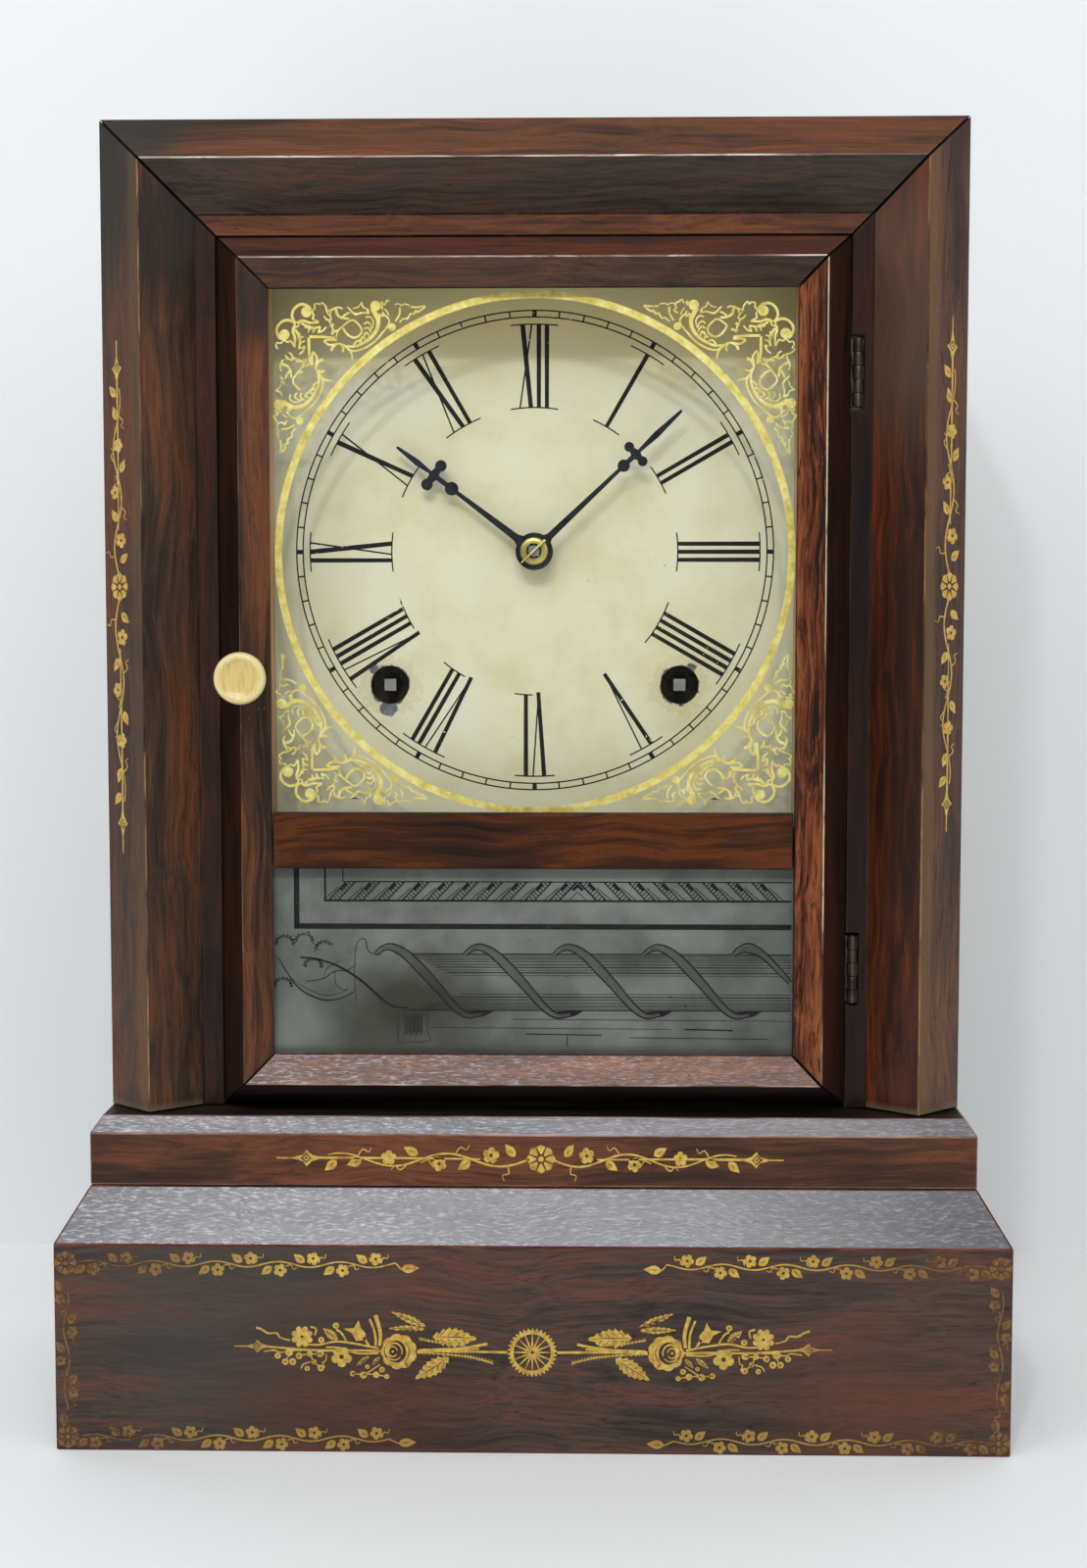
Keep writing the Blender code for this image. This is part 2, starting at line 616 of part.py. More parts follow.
def hand_outline(boss, dot, dot_radius, lobe, lobe_out, lobe_radius, tip, stem_root, angle):
    """One hand pointing up, then turned clockwise: a stem, a dot, two side lobes and a spear tip."""
    right = arc((0, 0), boss, -pi / 2, acos(stem_root / boss), 10)
    right.append((stem_root * 0.5, dot - dot_radius))
    right += arc((0, dot), dot_radius, radians(-70), radians(65), 7)
    right.append((0.8 * MM, lobe - 1.3 * MM))
    right += arc((lobe_out, lobe), lobe_radius, radians(215), radians(505), 9)
    right.append((0.7 * MM, lobe + 1.3 * MM))
    right.append((1.05 * MM, lobe + (tip - lobe) * 0.42))
    right.append((HAND_TIP, tip))
    left = [(-x, z) for x, z in reversed(right[1:])]
    turn = Matrix.Rotation(-angle, 2)
    return [tuple(turn @ Vector(point)) for point in right + left]


# Front work: hands on the arbors that carry them

HOUR_HAND_SET = DIAL_SET - 4.5 * MM
MINUTE_HAND_SET = HOUR_HAND_SET - 2.6 * MM
WASHER_SET = MINUTE_HAND_SET - 0.9 * MM
HAND_PIN_SET = WASHER_SET - 0.9 * MM
CANNON_PIPE_RADIUS = 2.2 * MM
HOUR_PIPE_BORE = CANNON_PIPE_RADIUS + FIT
HOUR_TIP_RADIUS = HOUR_PIPE_BORE + 0.5 * MM
HOUR_PIPE_RADIUS = HOUR_TIP_RADIUS + 0.8 * MM


def make_hands():
    boss = CENTRE_HOLE_RADIUS
    hour = hand_outline(boss + FIT, HOUR_DOT, HOUR_DOT_RADIUS, HOUR_LOBE, HOUR_LOBE_OUT, HOUR_LOBE_RADIUS,
                        HOUR_REACH, HOUR_STEM, HOUR_ANGLE)
    hour_hole = circle(HOUR_TIP_RADIUS + RUNNING_FIT, 16, CENTRE)
    add("hour_hand", sheet(HOUR_HAND_SET, HOUR_HAND_SET + HAND_SHEET, moved(hour, CENTRE), [hour_hole]),
        "hour", BLUED, 0.3, 0.9)
    minute = hand_outline(boss, MINUTE_DOT, MINUTE_DOT_RADIUS, MINUTE_LOBE, MINUTE_LOBE_OUT, MINUTE_LOBE_RADIUS,
                          MINUTE_REACH, MINUTE_STEM, MINUTE_ANGLE)
    hole = moved(square(HAND_SQUARE + RUNNING_FIT), CENTRE)
    add("minute_hand", sheet(MINUTE_HAND_SET, MINUTE_HAND_SET + HAND_SHEET, moved(minute, CENTRE), [hole]),
        "minute", BLUED, 0.3, 0.9)
    washer = stack([(WASHER_SET, WASHER_SET + WASHER_SHEET, circle(WASHER_RADIUS, 20))],
                   square(HAND_SQUARE + RUNNING_FIT), CENTRE)
    add("hand_washer", washer, "minute", BRASS, 0.3, 1.0)
    along = Vector((sin(MINUTE_ANGLE), 0, cos(MINUTE_ANGLE)))
    middle = Vector((CENTRE[0], HAND_PIN_SET, CENTRE[1]))
    pin = loft(*[[middle + along * reach + Vector((x * along.z, y, -x * along.x)) for x, y in circle(radius, 8)]
                 for reach, radius in ((-WASHER_RADIUS - 0.9 * MM, 0.25 * MM), (WASHER_RADIUS + 0.5 * MM, 0.45 * MM))])
    add("hand_pin", pin, "minute", BRASS, 0.35, 1.0)


# Movement

def strike_side(point):
    return (-point[0], point[1])


WINDING = (WINDING_OUT, DIAL_HEIGHT - WINDING_DROP)
SECOND = meeting(WINDING, GREAT_RADIUS * (1 + PINION_LEAVES / GREAT_TEETH), CENTRE,
                 SECOND_RADIUS * (1 + PINION_LEAVES / SECOND_TEETH), -1)
THIRD = meeting(CENTRE, CENTRE_RADIUS * (1 + PINION_LEAVES / CENTRE_TEETH), ESCAPE,
                THIRD_RADIUS * (1 + PINION_LEAVES / THIRD_TEETH), -1)
STRIKE_SECOND = strike_side(SECOND)
STRIKE_THIRD = moved([(SECOND_RADIUS * (1 + PINION_LEAVES / SECOND_TEETH) * cos(radians(120)),
                       SECOND_RADIUS * (1 + PINION_LEAVES / SECOND_TEETH) * sin(radians(120)))], STRIKE_SECOND)[0]
FLY = moved([(STRIKE_THIRD_RADIUS * (1 + PINION_LEAVES / STRIKE_THIRD_TEETH) * cos(radians(66)),
              STRIKE_THIRD_RADIUS * (1 + PINION_LEAVES / STRIKE_THIRD_TEETH) * sin(radians(66)))], STRIKE_THIRD)[0]
MINUTE_WHEEL = moved([(MOTION_DISTANCE * cos(radians(-45)), MOTION_DISTANCE * sin(radians(-45)))], CENTRE)[0]
HAMMER = (-HAMMER_OUT, HAMMER_HEIGHT)

# Levels of the wheels behind the base's front, from the front plate to the back plate
PIVOT_FRONT = FRONT_PLATE_SET + 0.1 * MM
PIVOT_BACK = BACK_PLATE_SET + PLATE - 0.1 * MM
ARBOR_FRONT = FRONT_PLATE_SET + PLATE + FIT
ARBOR_BACK = BACK_PLATE_SET - FIT
GREAT_LEVEL = (DIAL_SET + 14 * STEP, DIAL_SET + 15.5 * STEP)
CENTRE_LEVEL = (DIAL_SET + 17.5 * STEP, DIAL_SET + 19 * STEP)
SPRING_LEVEL = (DIAL_SET + 21 * STEP, DIAL_SET + 37 * STEP)
THIRD_LEVEL = (DIAL_SET + 23 * STEP, DIAL_SET + 24.2 * STEP)
ESCAPE_LEVEL = (DIAL_SET + 29 * STEP, DIAL_SET + 30.2 * STEP)
FLY_LEVEL = (DIAL_SET + 32.5 * STEP, DIAL_SET + 37.5 * STEP)
STRIKE_SECOND_LEVEL = (DIAL_SET + 38.5 * STEP, DIAL_SET + 39.7 * STEP)
SECOND_LEVEL = (DIAL_SET + 42 * STEP, DIAL_SET + 43.2 * STEP)
CANNON_LEVEL = (DIAL_SET + 6.2 * STEP, DIAL_SET + 7.4 * STEP)
HOUR_LEVEL = (DIAL_SET + 3 * STEP, DIAL_SET + 4.2 * STEP)


def wheel_arbor(levels, place, front=PIVOT_FRONT, back=PIVOT_BACK):
    """An arbor between the plates: a pivot at each end, and toothed sections at the given levels."""
    pivot = circle(PIVOT_RADIUS, 8)
    arbor = circle(ARBOR_RADIUS, 8)
    sections = [(front, ARBOR_FRONT, pivot)]
    depth = ARBOR_FRONT
    for low, high, outline in sorted(levels, key=lambda level: level[0]):
        if low > depth:
            sections.append((depth, low, arbor))
        sections.append((low, high, outline))
        depth = high
    sections.append((depth, ARBOR_BACK, arbor))
    sections.append((ARBOR_BACK, back, pivot))
    return stack(sections, centre=place)


def spread(level, margin=STEP):
    """A pinion's span: a little longer than the wheel it meshes with."""
    return (level[0] - margin, level[1] + margin)


def leaves_radius(wheel_radius, wheel_teeth, leaves=PINION_LEAVES):
    return wheel_radius * leaves / wheel_teeth


def mesh_pinion(level, wheel_radius, wheel_teeth, own, mate, leaves=PINION_LEAVES):
    low, high = spread(level)
    outline = pinion(leaves_radius(wheel_radius, wheel_teeth, leaves), leaves, direction(own, mate) + pi / leaves)
    return (low, high, outline)


def mesh_wheel(level, radius, teeth, own, mate):
    return (level[0], level[1], wheel(radius, teeth, direction(own, mate)))


def make_time_train():
    add("time_second_wheel", wheel_arbor(
        [mesh_pinion(GREAT_LEVEL, GREAT_RADIUS, GREAT_TEETH, SECOND, WINDING),
         mesh_wheel(SECOND_LEVEL, SECOND_RADIUS, SECOND_TEETH, SECOND, CENTRE)], SECOND),
        "time_second", BRASS, 0.35, 1.0)
    add("third_wheel", wheel_arbor(
        [mesh_pinion(CENTRE_LEVEL, CENTRE_RADIUS, CENTRE_TEETH, THIRD, CENTRE),
         mesh_wheel(THIRD_LEVEL, THIRD_RADIUS, THIRD_TEETH, THIRD, ESCAPE)], THIRD),
        "third", BRASS, 0.35, 1.0)
    scape = ratchet(ESCAPE_RADIUS, ESCAPE_TEETH, 1.6 * MM)
    add("escape_wheel", wheel_arbor(
        [mesh_pinion(THIRD_LEVEL, THIRD_RADIUS, THIRD_TEETH, ESCAPE, THIRD), (*ESCAPE_LEVEL, scape)], ESCAPE),
        "escape", BRASS, 0.35, 1.0)


def make_centre_arbor():
    """The minute arbor: its square end carries the hand, and its cannon drives the minute wheel."""
    pipe = circle(CANNON_PIPE_RADIUS, 16)
    cannon = pinion(leaves_radius(MINUTE_WHEEL_RADIUS, MINUTE_WHEEL_TEETH, CANNON_TEETH), CANNON_TEETH,
                    direction(CENTRE, MINUTE_WHEEL) + pi / CANNON_TEETH)
    arbor = circle(ARBOR_RADIUS, 8)
    step = MINUTE_HAND_SET + HAND_SHEET + FIT
    low, high = spread(SECOND_LEVEL, 0.8 * STEP)
    drive = pinion(leaves_radius(SECOND_RADIUS, SECOND_TEETH), PINION_LEAVES,
                   direction(CENTRE, SECOND) + pi / PINION_LEAVES)
    sections = [(HAND_PIN_SET + 0.45 * MM + FIT, step, square(HAND_SQUARE)),
                (step, CANNON_LEVEL[0], pipe),
                (*CANNON_LEVEL, cannon),
                (CANNON_LEVEL[1], CENTRE_LEVEL[0], pipe),
                (*CENTRE_LEVEL, wheel(CENTRE_RADIUS, CENTRE_TEETH, direction(CENTRE, THIRD))),
                (CENTRE_LEVEL[1], low, arbor),
                (low, high, drive),
                (high, ARBOR_BACK, arbor),
                (ARBOR_BACK, PIVOT_BACK, circle(PIVOT_RADIUS, 8))]
    add("center_arbor", stack(sections, centre=CENTRE), "minute", BRASS, 0.35, 1.0)


MINUTE_WHEEL_RADIUS = MOTION_DISTANCE * MINUTE_WHEEL_TEETH / (MINUTE_WHEEL_TEETH + CANNON_TEETH)
HOUR_WHEEL_RADIUS = MOTION_DISTANCE * HOUR_WHEEL_TEETH / (HOUR_WHEEL_TEETH + MINUTE_PINION_TEETH)


def make_motion_work():
    bore = circle(HOUR_PIPE_BORE, 16)
    gear = wheel(HOUR_WHEEL_RADIUS, HOUR_WHEEL_TEETH, direction(CENTRE, MINUTE_WHEEL))
    shoulder = HOUR_HAND_SET + HAND_SHEET + FIT
    pipe = stack([(HOUR_HAND_SET - 0.4 * MM, shoulder, circle(HOUR_TIP_RADIUS, 16)),
                  (shoulder, HOUR_LEVEL[0], circle(HOUR_PIPE_RADIUS, 16)),
                  (*HOUR_LEVEL, gear)], bore, CENTRE)
    add("hour_wheel", pipe, "hour", BRASS, 0.35, 1.0)
    small = pinion(MOTION_DISTANCE - HOUR_WHEEL_RADIUS, MINUTE_PINION_TEETH,
                   direction(MINUTE_WHEEL, CENTRE) + pi / MINUTE_PINION_TEETH)
    large = wheel(MINUTE_WHEEL_RADIUS, MINUTE_WHEEL_TEETH, direction(MINUTE_WHEEL, CENTRE))
    sections = [(*spread(HOUR_LEVEL, 0.6 * STEP), small),
                (HOUR_LEVEL[1] + 0.6 * STEP, CANNON_LEVEL[0], circle(PIVOT_RADIUS, 8)),
                (*CANNON_LEVEL, large),
                (CANNON_LEVEL[1], FRONT_PLATE_SET + PLATE - 0.1 * MM, circle(PIVOT_RADIUS, 8))]
    add("minute_wheel", stack(sections, centre=MINUTE_WHEEL), "minute_wheel", BRASS, 0.35, 1.0)


def make_mainspring(name, centre, turns=4, steps=14):
    """A flat spring whose inner turn hugs its winding arbor."""
    inner = WINDING_ARBOR_RADIUS + FIT + SPRING_STRIP
    count = turns * steps + 1
    radii = [inner + (SPRING_RADIUS - inner) * i / (count - 1) for i in range(count)]
    angles = [tau * i / steps for i in range(count)]
    outside = [(r * cos(a), r * sin(a)) for r, a in zip(radii, angles)]
    inside = [((r - SPRING_STRIP) * cos(a), (r - SPRING_STRIP) * sin(a)) for r, a in zip(radii, angles)]
    add(name, sheet(*SPRING_LEVEL, moved(outside + inside[::-1], centre)), "case", STEEL, 0.4, 1.0)


def make_great_wheel(side, centre, second):
    """The great wheel runs loose on its winding arbor, whose ratchet winds the spring."""
    gear = wheel(GREAT_RADIUS, GREAT_TEETH, direction(centre, second))
    bore = circle(WINDING_ARBOR_RADIUS + FIT, 16)
    add(side + "_great_wheel", stack([(*GREAT_LEVEL, gear)], bore, centre), side + "_great", BRASS, 0.35, 1.0)
    round_part = circle(WINDING_ARBOR_RADIUS, 12)
    click_front = GREAT_LEVEL[1] + FIT
    click_back = click_front + 1.2 * MM
    sections = [(DIAL_SET + DIAL_SHEET + FIT, FRONT_PLATE_SET - FIT, square(WINDING_SQUARE)),
                (FRONT_PLATE_SET - FIT, click_front, round_part),
                (click_front, click_back, ratchet(9.0 * MM, 16, 1.4 * MM)),
                (click_back, ARBOR_BACK, round_part),
                (ARBOR_BACK, PIVOT_BACK, circle(PIVOT_RADIUS, 8))]
    add(side + "_winding_arbor", stack(sections, centre=centre), side + "_winding", STEEL, 0.4, 1.0)
    make_mainspring(side + "_mainspring", centre)


def make_strike_train():
    great = strike_side(WINDING)
    add("strike_second_wheel", wheel_arbor(
        [mesh_pinion(GREAT_LEVEL, GREAT_RADIUS, GREAT_TEETH, STRIKE_SECOND, great),
         mesh_wheel(STRIKE_SECOND_LEVEL, SECOND_RADIUS, SECOND_TEETH, STRIKE_SECOND, STRIKE_THIRD)], STRIKE_SECOND),
        "strike_second", BRASS, 0.35, 1.0)
    add("strike_third_wheel", wheel_arbor(
        [mesh_pinion(STRIKE_SECOND_LEVEL, SECOND_RADIUS, SECOND_TEETH, STRIKE_THIRD, STRIKE_SECOND),
         mesh_wheel(ESCAPE_LEVEL, STRIKE_THIRD_RADIUS, STRIKE_THIRD_TEETH, STRIKE_THIRD, FLY)], STRIKE_THIRD),
        "strike_third", BRASS, 0.35, 1.0)
    vane_half = ARBOR_RADIUS + FIT
    vane = rectangle(-FLY_WIDTH / 2, -vane_half, FLY_WIDTH / 2, vane_half)
    add("fly", wheel_arbor(
        [mesh_pinion(ESCAPE_LEVEL, STRIKE_THIRD_RADIUS, STRIKE_THIRD_TEETH, FLY, STRIKE_THIRD),
         (*FLY_LEVEL, vane)], FLY), "fly", BRASS, 0.35, 1.0)


def make_plates():
    """Two brass plates, kept apart by four pillars, bored for every pivot."""
    pivots = [SECOND, THIRD, ESCAPE, VERGE, STRIKE_SECOND, STRIKE_THIRD, FLY, HAMMER]
    outline = rectangle(-PLATE_HALF_WIDTH, PLATE_LOW, PLATE_HALF_WIDTH, PLATE_HIGH)
    winders = [WINDING, strike_side(WINDING)]
    small = PIVOT_RADIUS + RUNNING_FIT
    front_holes = [circle(small, 8, point) for point in [*pivots, MINUTE_WHEEL]]
    front_holes += [circle(WINDING_ARBOR_RADIUS + FIT, 16, point) for point in winders]
    front_holes.append(circle(CANNON_PIPE_RADIUS + FIT, 16, CENTRE))
    front_plate = add("front_plate", sheet(FRONT_PLATE_SET, FRONT_PLATE_SET + PLATE, outline, front_holes),
                      "case", BRASS, 0.4, 1.0)
    corners = [(side * (PLATE_HALF_WIDTH - PILLAR_INSET), z) for side in (-1, 1)
               for z in (PLATE_LOW + PILLAR_INSET, PLATE_HIGH - PILLAR_INSET)]
    pillars = [turned([(FRONT_PLATE_SET + PLATE / 2, PILLAR_RADIUS), (BACK_PLATE_SET - FIT, PILLAR_RADIUS)], corner, 12)
               for corner in corners]
    boolean(front_plate, joined(*pillars), "UNION")
    wide = [VERGE, HAMMER]
    back_holes = [circle(small, 8, point) for point in [*pivots, *winders, CENTRE] if point not in wide]
    back_holes += [circle(ARBOR_RADIUS + RUNNING_FIT, 8, point) for point in wide]
    back_plate = add("back_plate", sheet(BACK_PLATE_SET, BACK_PLATE_SET + PLATE, outline, back_holes),
                     "case", BRASS, 0.4, 1.0)
    cock_low = VERGE[1] + 2.5 * MM
    cock = board(-3 * MM, 3 * MM, BACK_PLATE_SET + PLATE / 2, PENDULUM_SET + 3 * MM, cock_low, cock_low + 3.5 * MM)
    boolean(back_plate, cock, "UNION")
    rail_front = BACK_PLATE_SET + PLATE + FIT
    for side, name in ((-1, "left"), (1, "right")):
        edges = sorted((side * (PLATE_HALF_WIDTH - 2 * MM), side * (PLATE_HALF_WIDTH - 2 * MM - RAIL_WIDTH)))
        rail = board(*edges, rail_front, CASE_BACK_SET, PLATE_LOW - 4 * MM, PLATE_HIGH + 4 * MM)
        add("movement_rail_" + name, rail, "case", PINE, 0.7)


# Escapement, pendulum, hammer and gong

def make_verge():
    """The anchor over the escape wheel, and behind the back plate the crutch that guides the pendulum."""
    arm = [(-2.5, 2.7), (2.5, 2.7), (12.5, -4.8), (13.0, -8.3), (10.4, -9.2), (8.6, -6.0), (0, -3.6),
           (-8.6, -6.0), (-10.4, -9.2), (-13.0, -8.3), (-12.5, -4.8)]
    grow = ESCAPE_RADIUS / 14
    anchor = [(x * grow, z * grow) for x, z in arm]
    crutch_front = BACK_PLATE_SET + PLATE + 1.5 * MM
    crutch_back = crutch_front + 1.5 * MM
    foot_low = -34.0 * MM
    crutch = [(-2.2 * MM, 2.2 * MM), (2.2 * MM, 2.2 * MM), (1.2 * MM, foot_low), (-1.2 * MM, foot_low)]
    arbor = circle(ARBOR_RADIUS, 8)
    sections = [(PIVOT_FRONT, ARBOR_FRONT, circle(PIVOT_RADIUS, 8)), (ARBOR_FRONT, ESCAPE_LEVEL[0] - 0.4 * MM, arbor),
                (ESCAPE_LEVEL[0] - 0.4 * MM, ESCAPE_LEVEL[1] + 0.4 * MM, anchor),
                (ESCAPE_LEVEL[1] + 0.4 * MM, crutch_front, arbor), (crutch_front, crutch_back, crutch)]
    verge = add("verge", stack(sections, centre=VERGE), "verge", STEEL, 0.4, 1.0)
    half = 3.0 * MM
    foot_z = VERGE[1] + foot_low
    reach = PENDULUM_SET + half
    foot = board(-half, half, crutch_front + 0.2 * MM, reach, foot_z - MM, foot_z + 0.6 * MM)
    slot = board(-1.1 * MM, 1.1 * MM, PENDULUM_SET - 1.3 * MM, PENDULUM_SET + 1.3 * MM, foot_z - 2 * MM, foot_z + 2 * MM)
    boolean(verge, foot, "UNION")
    boolean(verge, slot, "DIFFERENCE")


def make_pendulum():
    bob_z = VERGE[1] - PENDULUM_LENGTH
    top = (0, PENDULUM_SET, VERGE[1] + 2.2 * MM)
    foot = (0, PENDULUM_SET, bob_z + BOB_RADIUS + FIT)
    add("pendulum_rod", rod(top, foot, 0.8 * MM), "pendulum", STEEL, 0.4, 1.0)
    half = BOB_THICKNESS / 2
    profile = [(-half, 5 * MM), (-0.82 * half, 10 * MM), (-0.3 * half, BOB_RADIUS - 1 * MM), (0, BOB_RADIUS),
               (0.3 * half, BOB_RADIUS - 1 * MM), (0.82 * half, 10 * MM), (half, 5 * MM)]
    bob = turned([(PENDULUM_SET + depth, radius) for depth, radius in profile], (0, bob_z), 20)
    add("pendulum_bob", bob, "pendulum", BRASS, 0.3, 1.0, smooth=True)


def make_gong():
    """A coiled steel wire, held at its inner end by an iron post on the back board."""
    turns = 3
    steps = 14
    start = GONG_POST_RADIUS + GONG_WIRE + FIT
    curve = bpy.data.curves.new("gong_coil", "CURVE")
    curve.dimensions = "3D"
    curve.bevel_depth = GONG_WIRE
    curve.bevel_resolution = 1
    curve.use_fill_caps = True
    spline = curve.splines.new("POLY")
    count = turns * steps + 1
    spline.points.add(count - 1)
    origin = bodies["case"].location
    for i, point in enumerate(spline.points):
        radius = start + (GONG_RADIUS - start) * i / (count - 1)
        angle = tau * i / steps
        place = Vector((-GONG_OUT + radius * cos(angle), FRONT + GONG_SET, GONG_HEIGHT + radius * sin(angle)))
        point.co = (*(place - origin), 1.0)
    coil = bpy.data.objects.new("gong_coil", curve)
    bpy.context.collection.objects.link(coil)
    coil.parent = bodies["case"]
    colour(coil, STEEL, 0.35, 1.0)
    base = turned([(GONG_SET - 3 * MM, GONG_POST_RADIUS), (CASE_BACK_SET, GONG_POST_RADIUS)],
                  (-GONG_OUT, GONG_HEIGHT), 16)
    add("gong_base", base, "case", IRON, 0.6, 0.8)


def make_hammer():
    """A wire arm behind the back plate, whose head rests just off the gong's outer turn."""
    gap = MM
    head = (-GONG_OUT + GONG_RADIUS + GONG_WIRE + gap + HAMMER_HEAD_RADIUS, GONG_HEIGHT)
    arm_front = GONG_SET - 0.9 * MM
    arm_back = GONG_SET + 0.9 * MM
    pivot = circle(PIVOT_RADIUS, 8)
    arbor = circle(ARBOR_RADIUS, 8)
    sections = [(PIVOT_FRONT, ARBOR_FRONT, pivot), (ARBOR_FRONT, arm_front, arbor),
                (arm_front, arm_back, circle(2.4 * MM, 12))]
    hammer = add("hammer", stack(sections, centre=HAMMER), "hammer", STEEL, 0.4, 1.0)
    arm = rod((HAMMER[0], GONG_SET, HAMMER[1]), (head[0], GONG_SET, head[1]), 0.8 * MM, 8)
    block = turned([(GONG_SET - 4 * MM, HAMMER_HEAD_RADIUS), (GONG_SET + 4 * MM, HAMMER_HEAD_RADIUS)], head, 14)
    boolean(hammer, arm, "UNION")
    boolean(hammer, block, "UNION")


def make_bodies():
    body("case", 0, BASE_DEPTH / 2, 0)
    body("door", HINGE_X, HINGE_SET, DOOR_BOTTOM)
    body("knob", -KNOB_OUT, FRAME_BACK_SET, KNOB_HEIGHT)
    for name, place in (("minute", CENTRE), ("hour", CENTRE), ("minute_wheel", MINUTE_WHEEL),
                        ("time_great", WINDING), ("time_winding", WINDING), ("time_second", SECOND),
                        ("third", THIRD), ("escape", ESCAPE), ("verge", VERGE), ("pendulum", VERGE),
                        ("strike_great", strike_side(WINDING)), ("strike_winding", strike_side(WINDING)),
                        ("strike_second", STRIKE_SECOND), ("strike_third", STRIKE_THIRD), ("fly", FLY),
                        ("hammer", HAMMER)):
        body(name, place[0], FRONT_PLATE_SET, place[1])


def main():
    clear_scene()
    make_bodies()
    make_base()
    make_case()
    make_frame()
    make_door()
    make_knob()
    make_hinges()
    make_dial()
    make_hands()
    make_plates()
    make_centre_arbor()
    make_motion_work()
    make_great_wheel("time", WINDING, SECOND)
    make_great_wheel("strike", strike_side(WINDING), STRIKE_SECOND)
    make_time_train()
    make_strike_train()
    make_verge()
    make_pendulum()
    make_gong()
    make_hammer()


main()
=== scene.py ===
# %% [markdown]
# # A cottage clock, dressed for its photograph
#
# The clock is a veneered box on a stepped base. A moulded frame surrounds a hinged door, and the door holds
# two panes: clear glass with gilt corners over the painted dial, and a silvered, painted tablet below it.
# The fixed frame comes first: it holds every solid of the clock at its real place, in metres, +Z up, with the
# front toward -Y. This script adds what a solid can't show, such as grain, gilding, numerals and wear.

# %% Load the frame
import math

import bpy
from mathutils import Matrix, Vector


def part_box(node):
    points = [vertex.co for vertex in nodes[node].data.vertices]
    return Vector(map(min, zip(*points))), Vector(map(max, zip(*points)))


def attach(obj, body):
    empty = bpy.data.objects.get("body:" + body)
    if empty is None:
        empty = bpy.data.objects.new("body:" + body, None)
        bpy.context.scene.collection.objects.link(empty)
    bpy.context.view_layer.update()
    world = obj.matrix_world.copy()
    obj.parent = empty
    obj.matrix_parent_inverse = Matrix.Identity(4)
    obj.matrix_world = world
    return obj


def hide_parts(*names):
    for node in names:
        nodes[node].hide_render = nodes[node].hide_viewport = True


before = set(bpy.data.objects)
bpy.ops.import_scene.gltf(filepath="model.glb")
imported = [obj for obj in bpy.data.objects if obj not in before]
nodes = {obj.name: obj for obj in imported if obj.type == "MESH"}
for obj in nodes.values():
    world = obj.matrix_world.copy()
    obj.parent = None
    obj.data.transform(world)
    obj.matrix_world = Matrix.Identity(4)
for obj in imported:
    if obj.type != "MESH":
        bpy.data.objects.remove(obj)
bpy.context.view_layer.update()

MM = 0.001

# %% [markdown]
# ## The camera
#
# The photograph was taken from about 0.6 m in front of the base, slightly from the right and a little lower
# than the dial's middle, looking 4 degrees down. A 50 mm lens on a 36 mm frame gives its perspective. The
# camera comes first, so that each later step can be judged from the same place.

# %% Camera, with its tilt and turn in degrees
CAMERA_PLACE, LOOKS_DOWN, LOOKS_LEFT = (0.0164, -0.6636, 0.2354), 4.128, 1.219
bpy.ops.object.camera_add(
    location=CAMERA_PLACE, rotation=(math.radians(90 - LOOKS_DOWN), 0, math.radians(LOOKS_LEFT))
)
camera = bpy.context.object
camera.name = "photo_camera"
camera.data.lens = 50
camera.data.sensor_width = 36
bpy.context.scene.camera = camera
print("camera", [round(value / MM) for value in camera.location], "mm")

# %% [markdown]
# ## Light and room
#
# Each hand throws two faint shadows on the dial, one slightly to the left and one to the right, so two small
# lamps stand high in front. The same two leave a bright patch each on the sloped top of the base. A wide soft
# box overhead fills the sheen between them, and one on each side throws the soft shadow on the wall. Their
# strengths are set so that a colour renders about as it is written.


# %% A lamp that faces a point
def softbox(name, place, target, width, height, watts, colour=(1.0, 1.0, 1.0)):
    """A rectangular area lamp at place that shines at target."""
    bpy.ops.object.light_add(type="AREA", location=place)
    lamp = bpy.context.object
    lamp.name = name
    lamp.data.shape = "RECTANGLE"
    lamp.data.size = width
    lamp.data.size_y = height
    lamp.data.energy = watts
    lamp.data.color = colour
    lamp.rotation_euler = (Vector(target) - Vector(place)).to_track_quat("-Z", "Y").to_euler()
    return lamp


# %% Lamps and the room's plain fill
DIAL_MIDDLE = (0.0, -0.0165, 0.2575)
softbox("high_lamp_left", (-0.29, -1.35, 1.22), DIAL_MIDDLE, 0.08, 0.08, 4.1)
softbox("high_lamp_right", (0.11, -1.35, 1.22), DIAL_MIDDLE, 0.08, 0.08, 3.3)
softbox("overhead_box", (-0.2, -0.86, 1.15), (0, -0.05, 0.15), 1.3, 0.75, 7.8, (0.90, 0.96, 1.0))
softbox("left_box", (-1.05, -0.75, 0.75), (0, 0, 0.2), 0.7, 0.9, 1.8)
softbox("right_box", (1.1, -0.8, 0.7), (0, 0, 0.2), 0.7, 0.9, 3.0)
world = bpy.data.worlds.new("plain_room")
world.use_nodes = True
world.node_tree.nodes["Background"].inputs["Color"].default_value = (1.0, 0.985, 0.955, 1.0)
world.node_tree.nodes["Background"].inputs["Strength"].default_value = 0.25
bpy.context.scene.world = world
bpy.context.scene.view_settings.view_transform = "Standard"

# %% [markdown]
# ## Colours and nodes
#
# Colours are noted as hex values, as a picture editor shows them. Blender wants light values, so one function
# turns them. Another one adds a node with its settings and links, and every material below is made with it.


# %% Hex colours to light values
def tint(code):
    """An sRGB hex value as a linear colour with full alpha."""
    parts = [int(code[i:i + 2], 16) / 255 for i in (1, 3, 5)]
    return (*[part / 12.92 if part <= 0.04045 else ((part + 0.055) / 1.055) ** 2.4 for part in parts], 1.0)


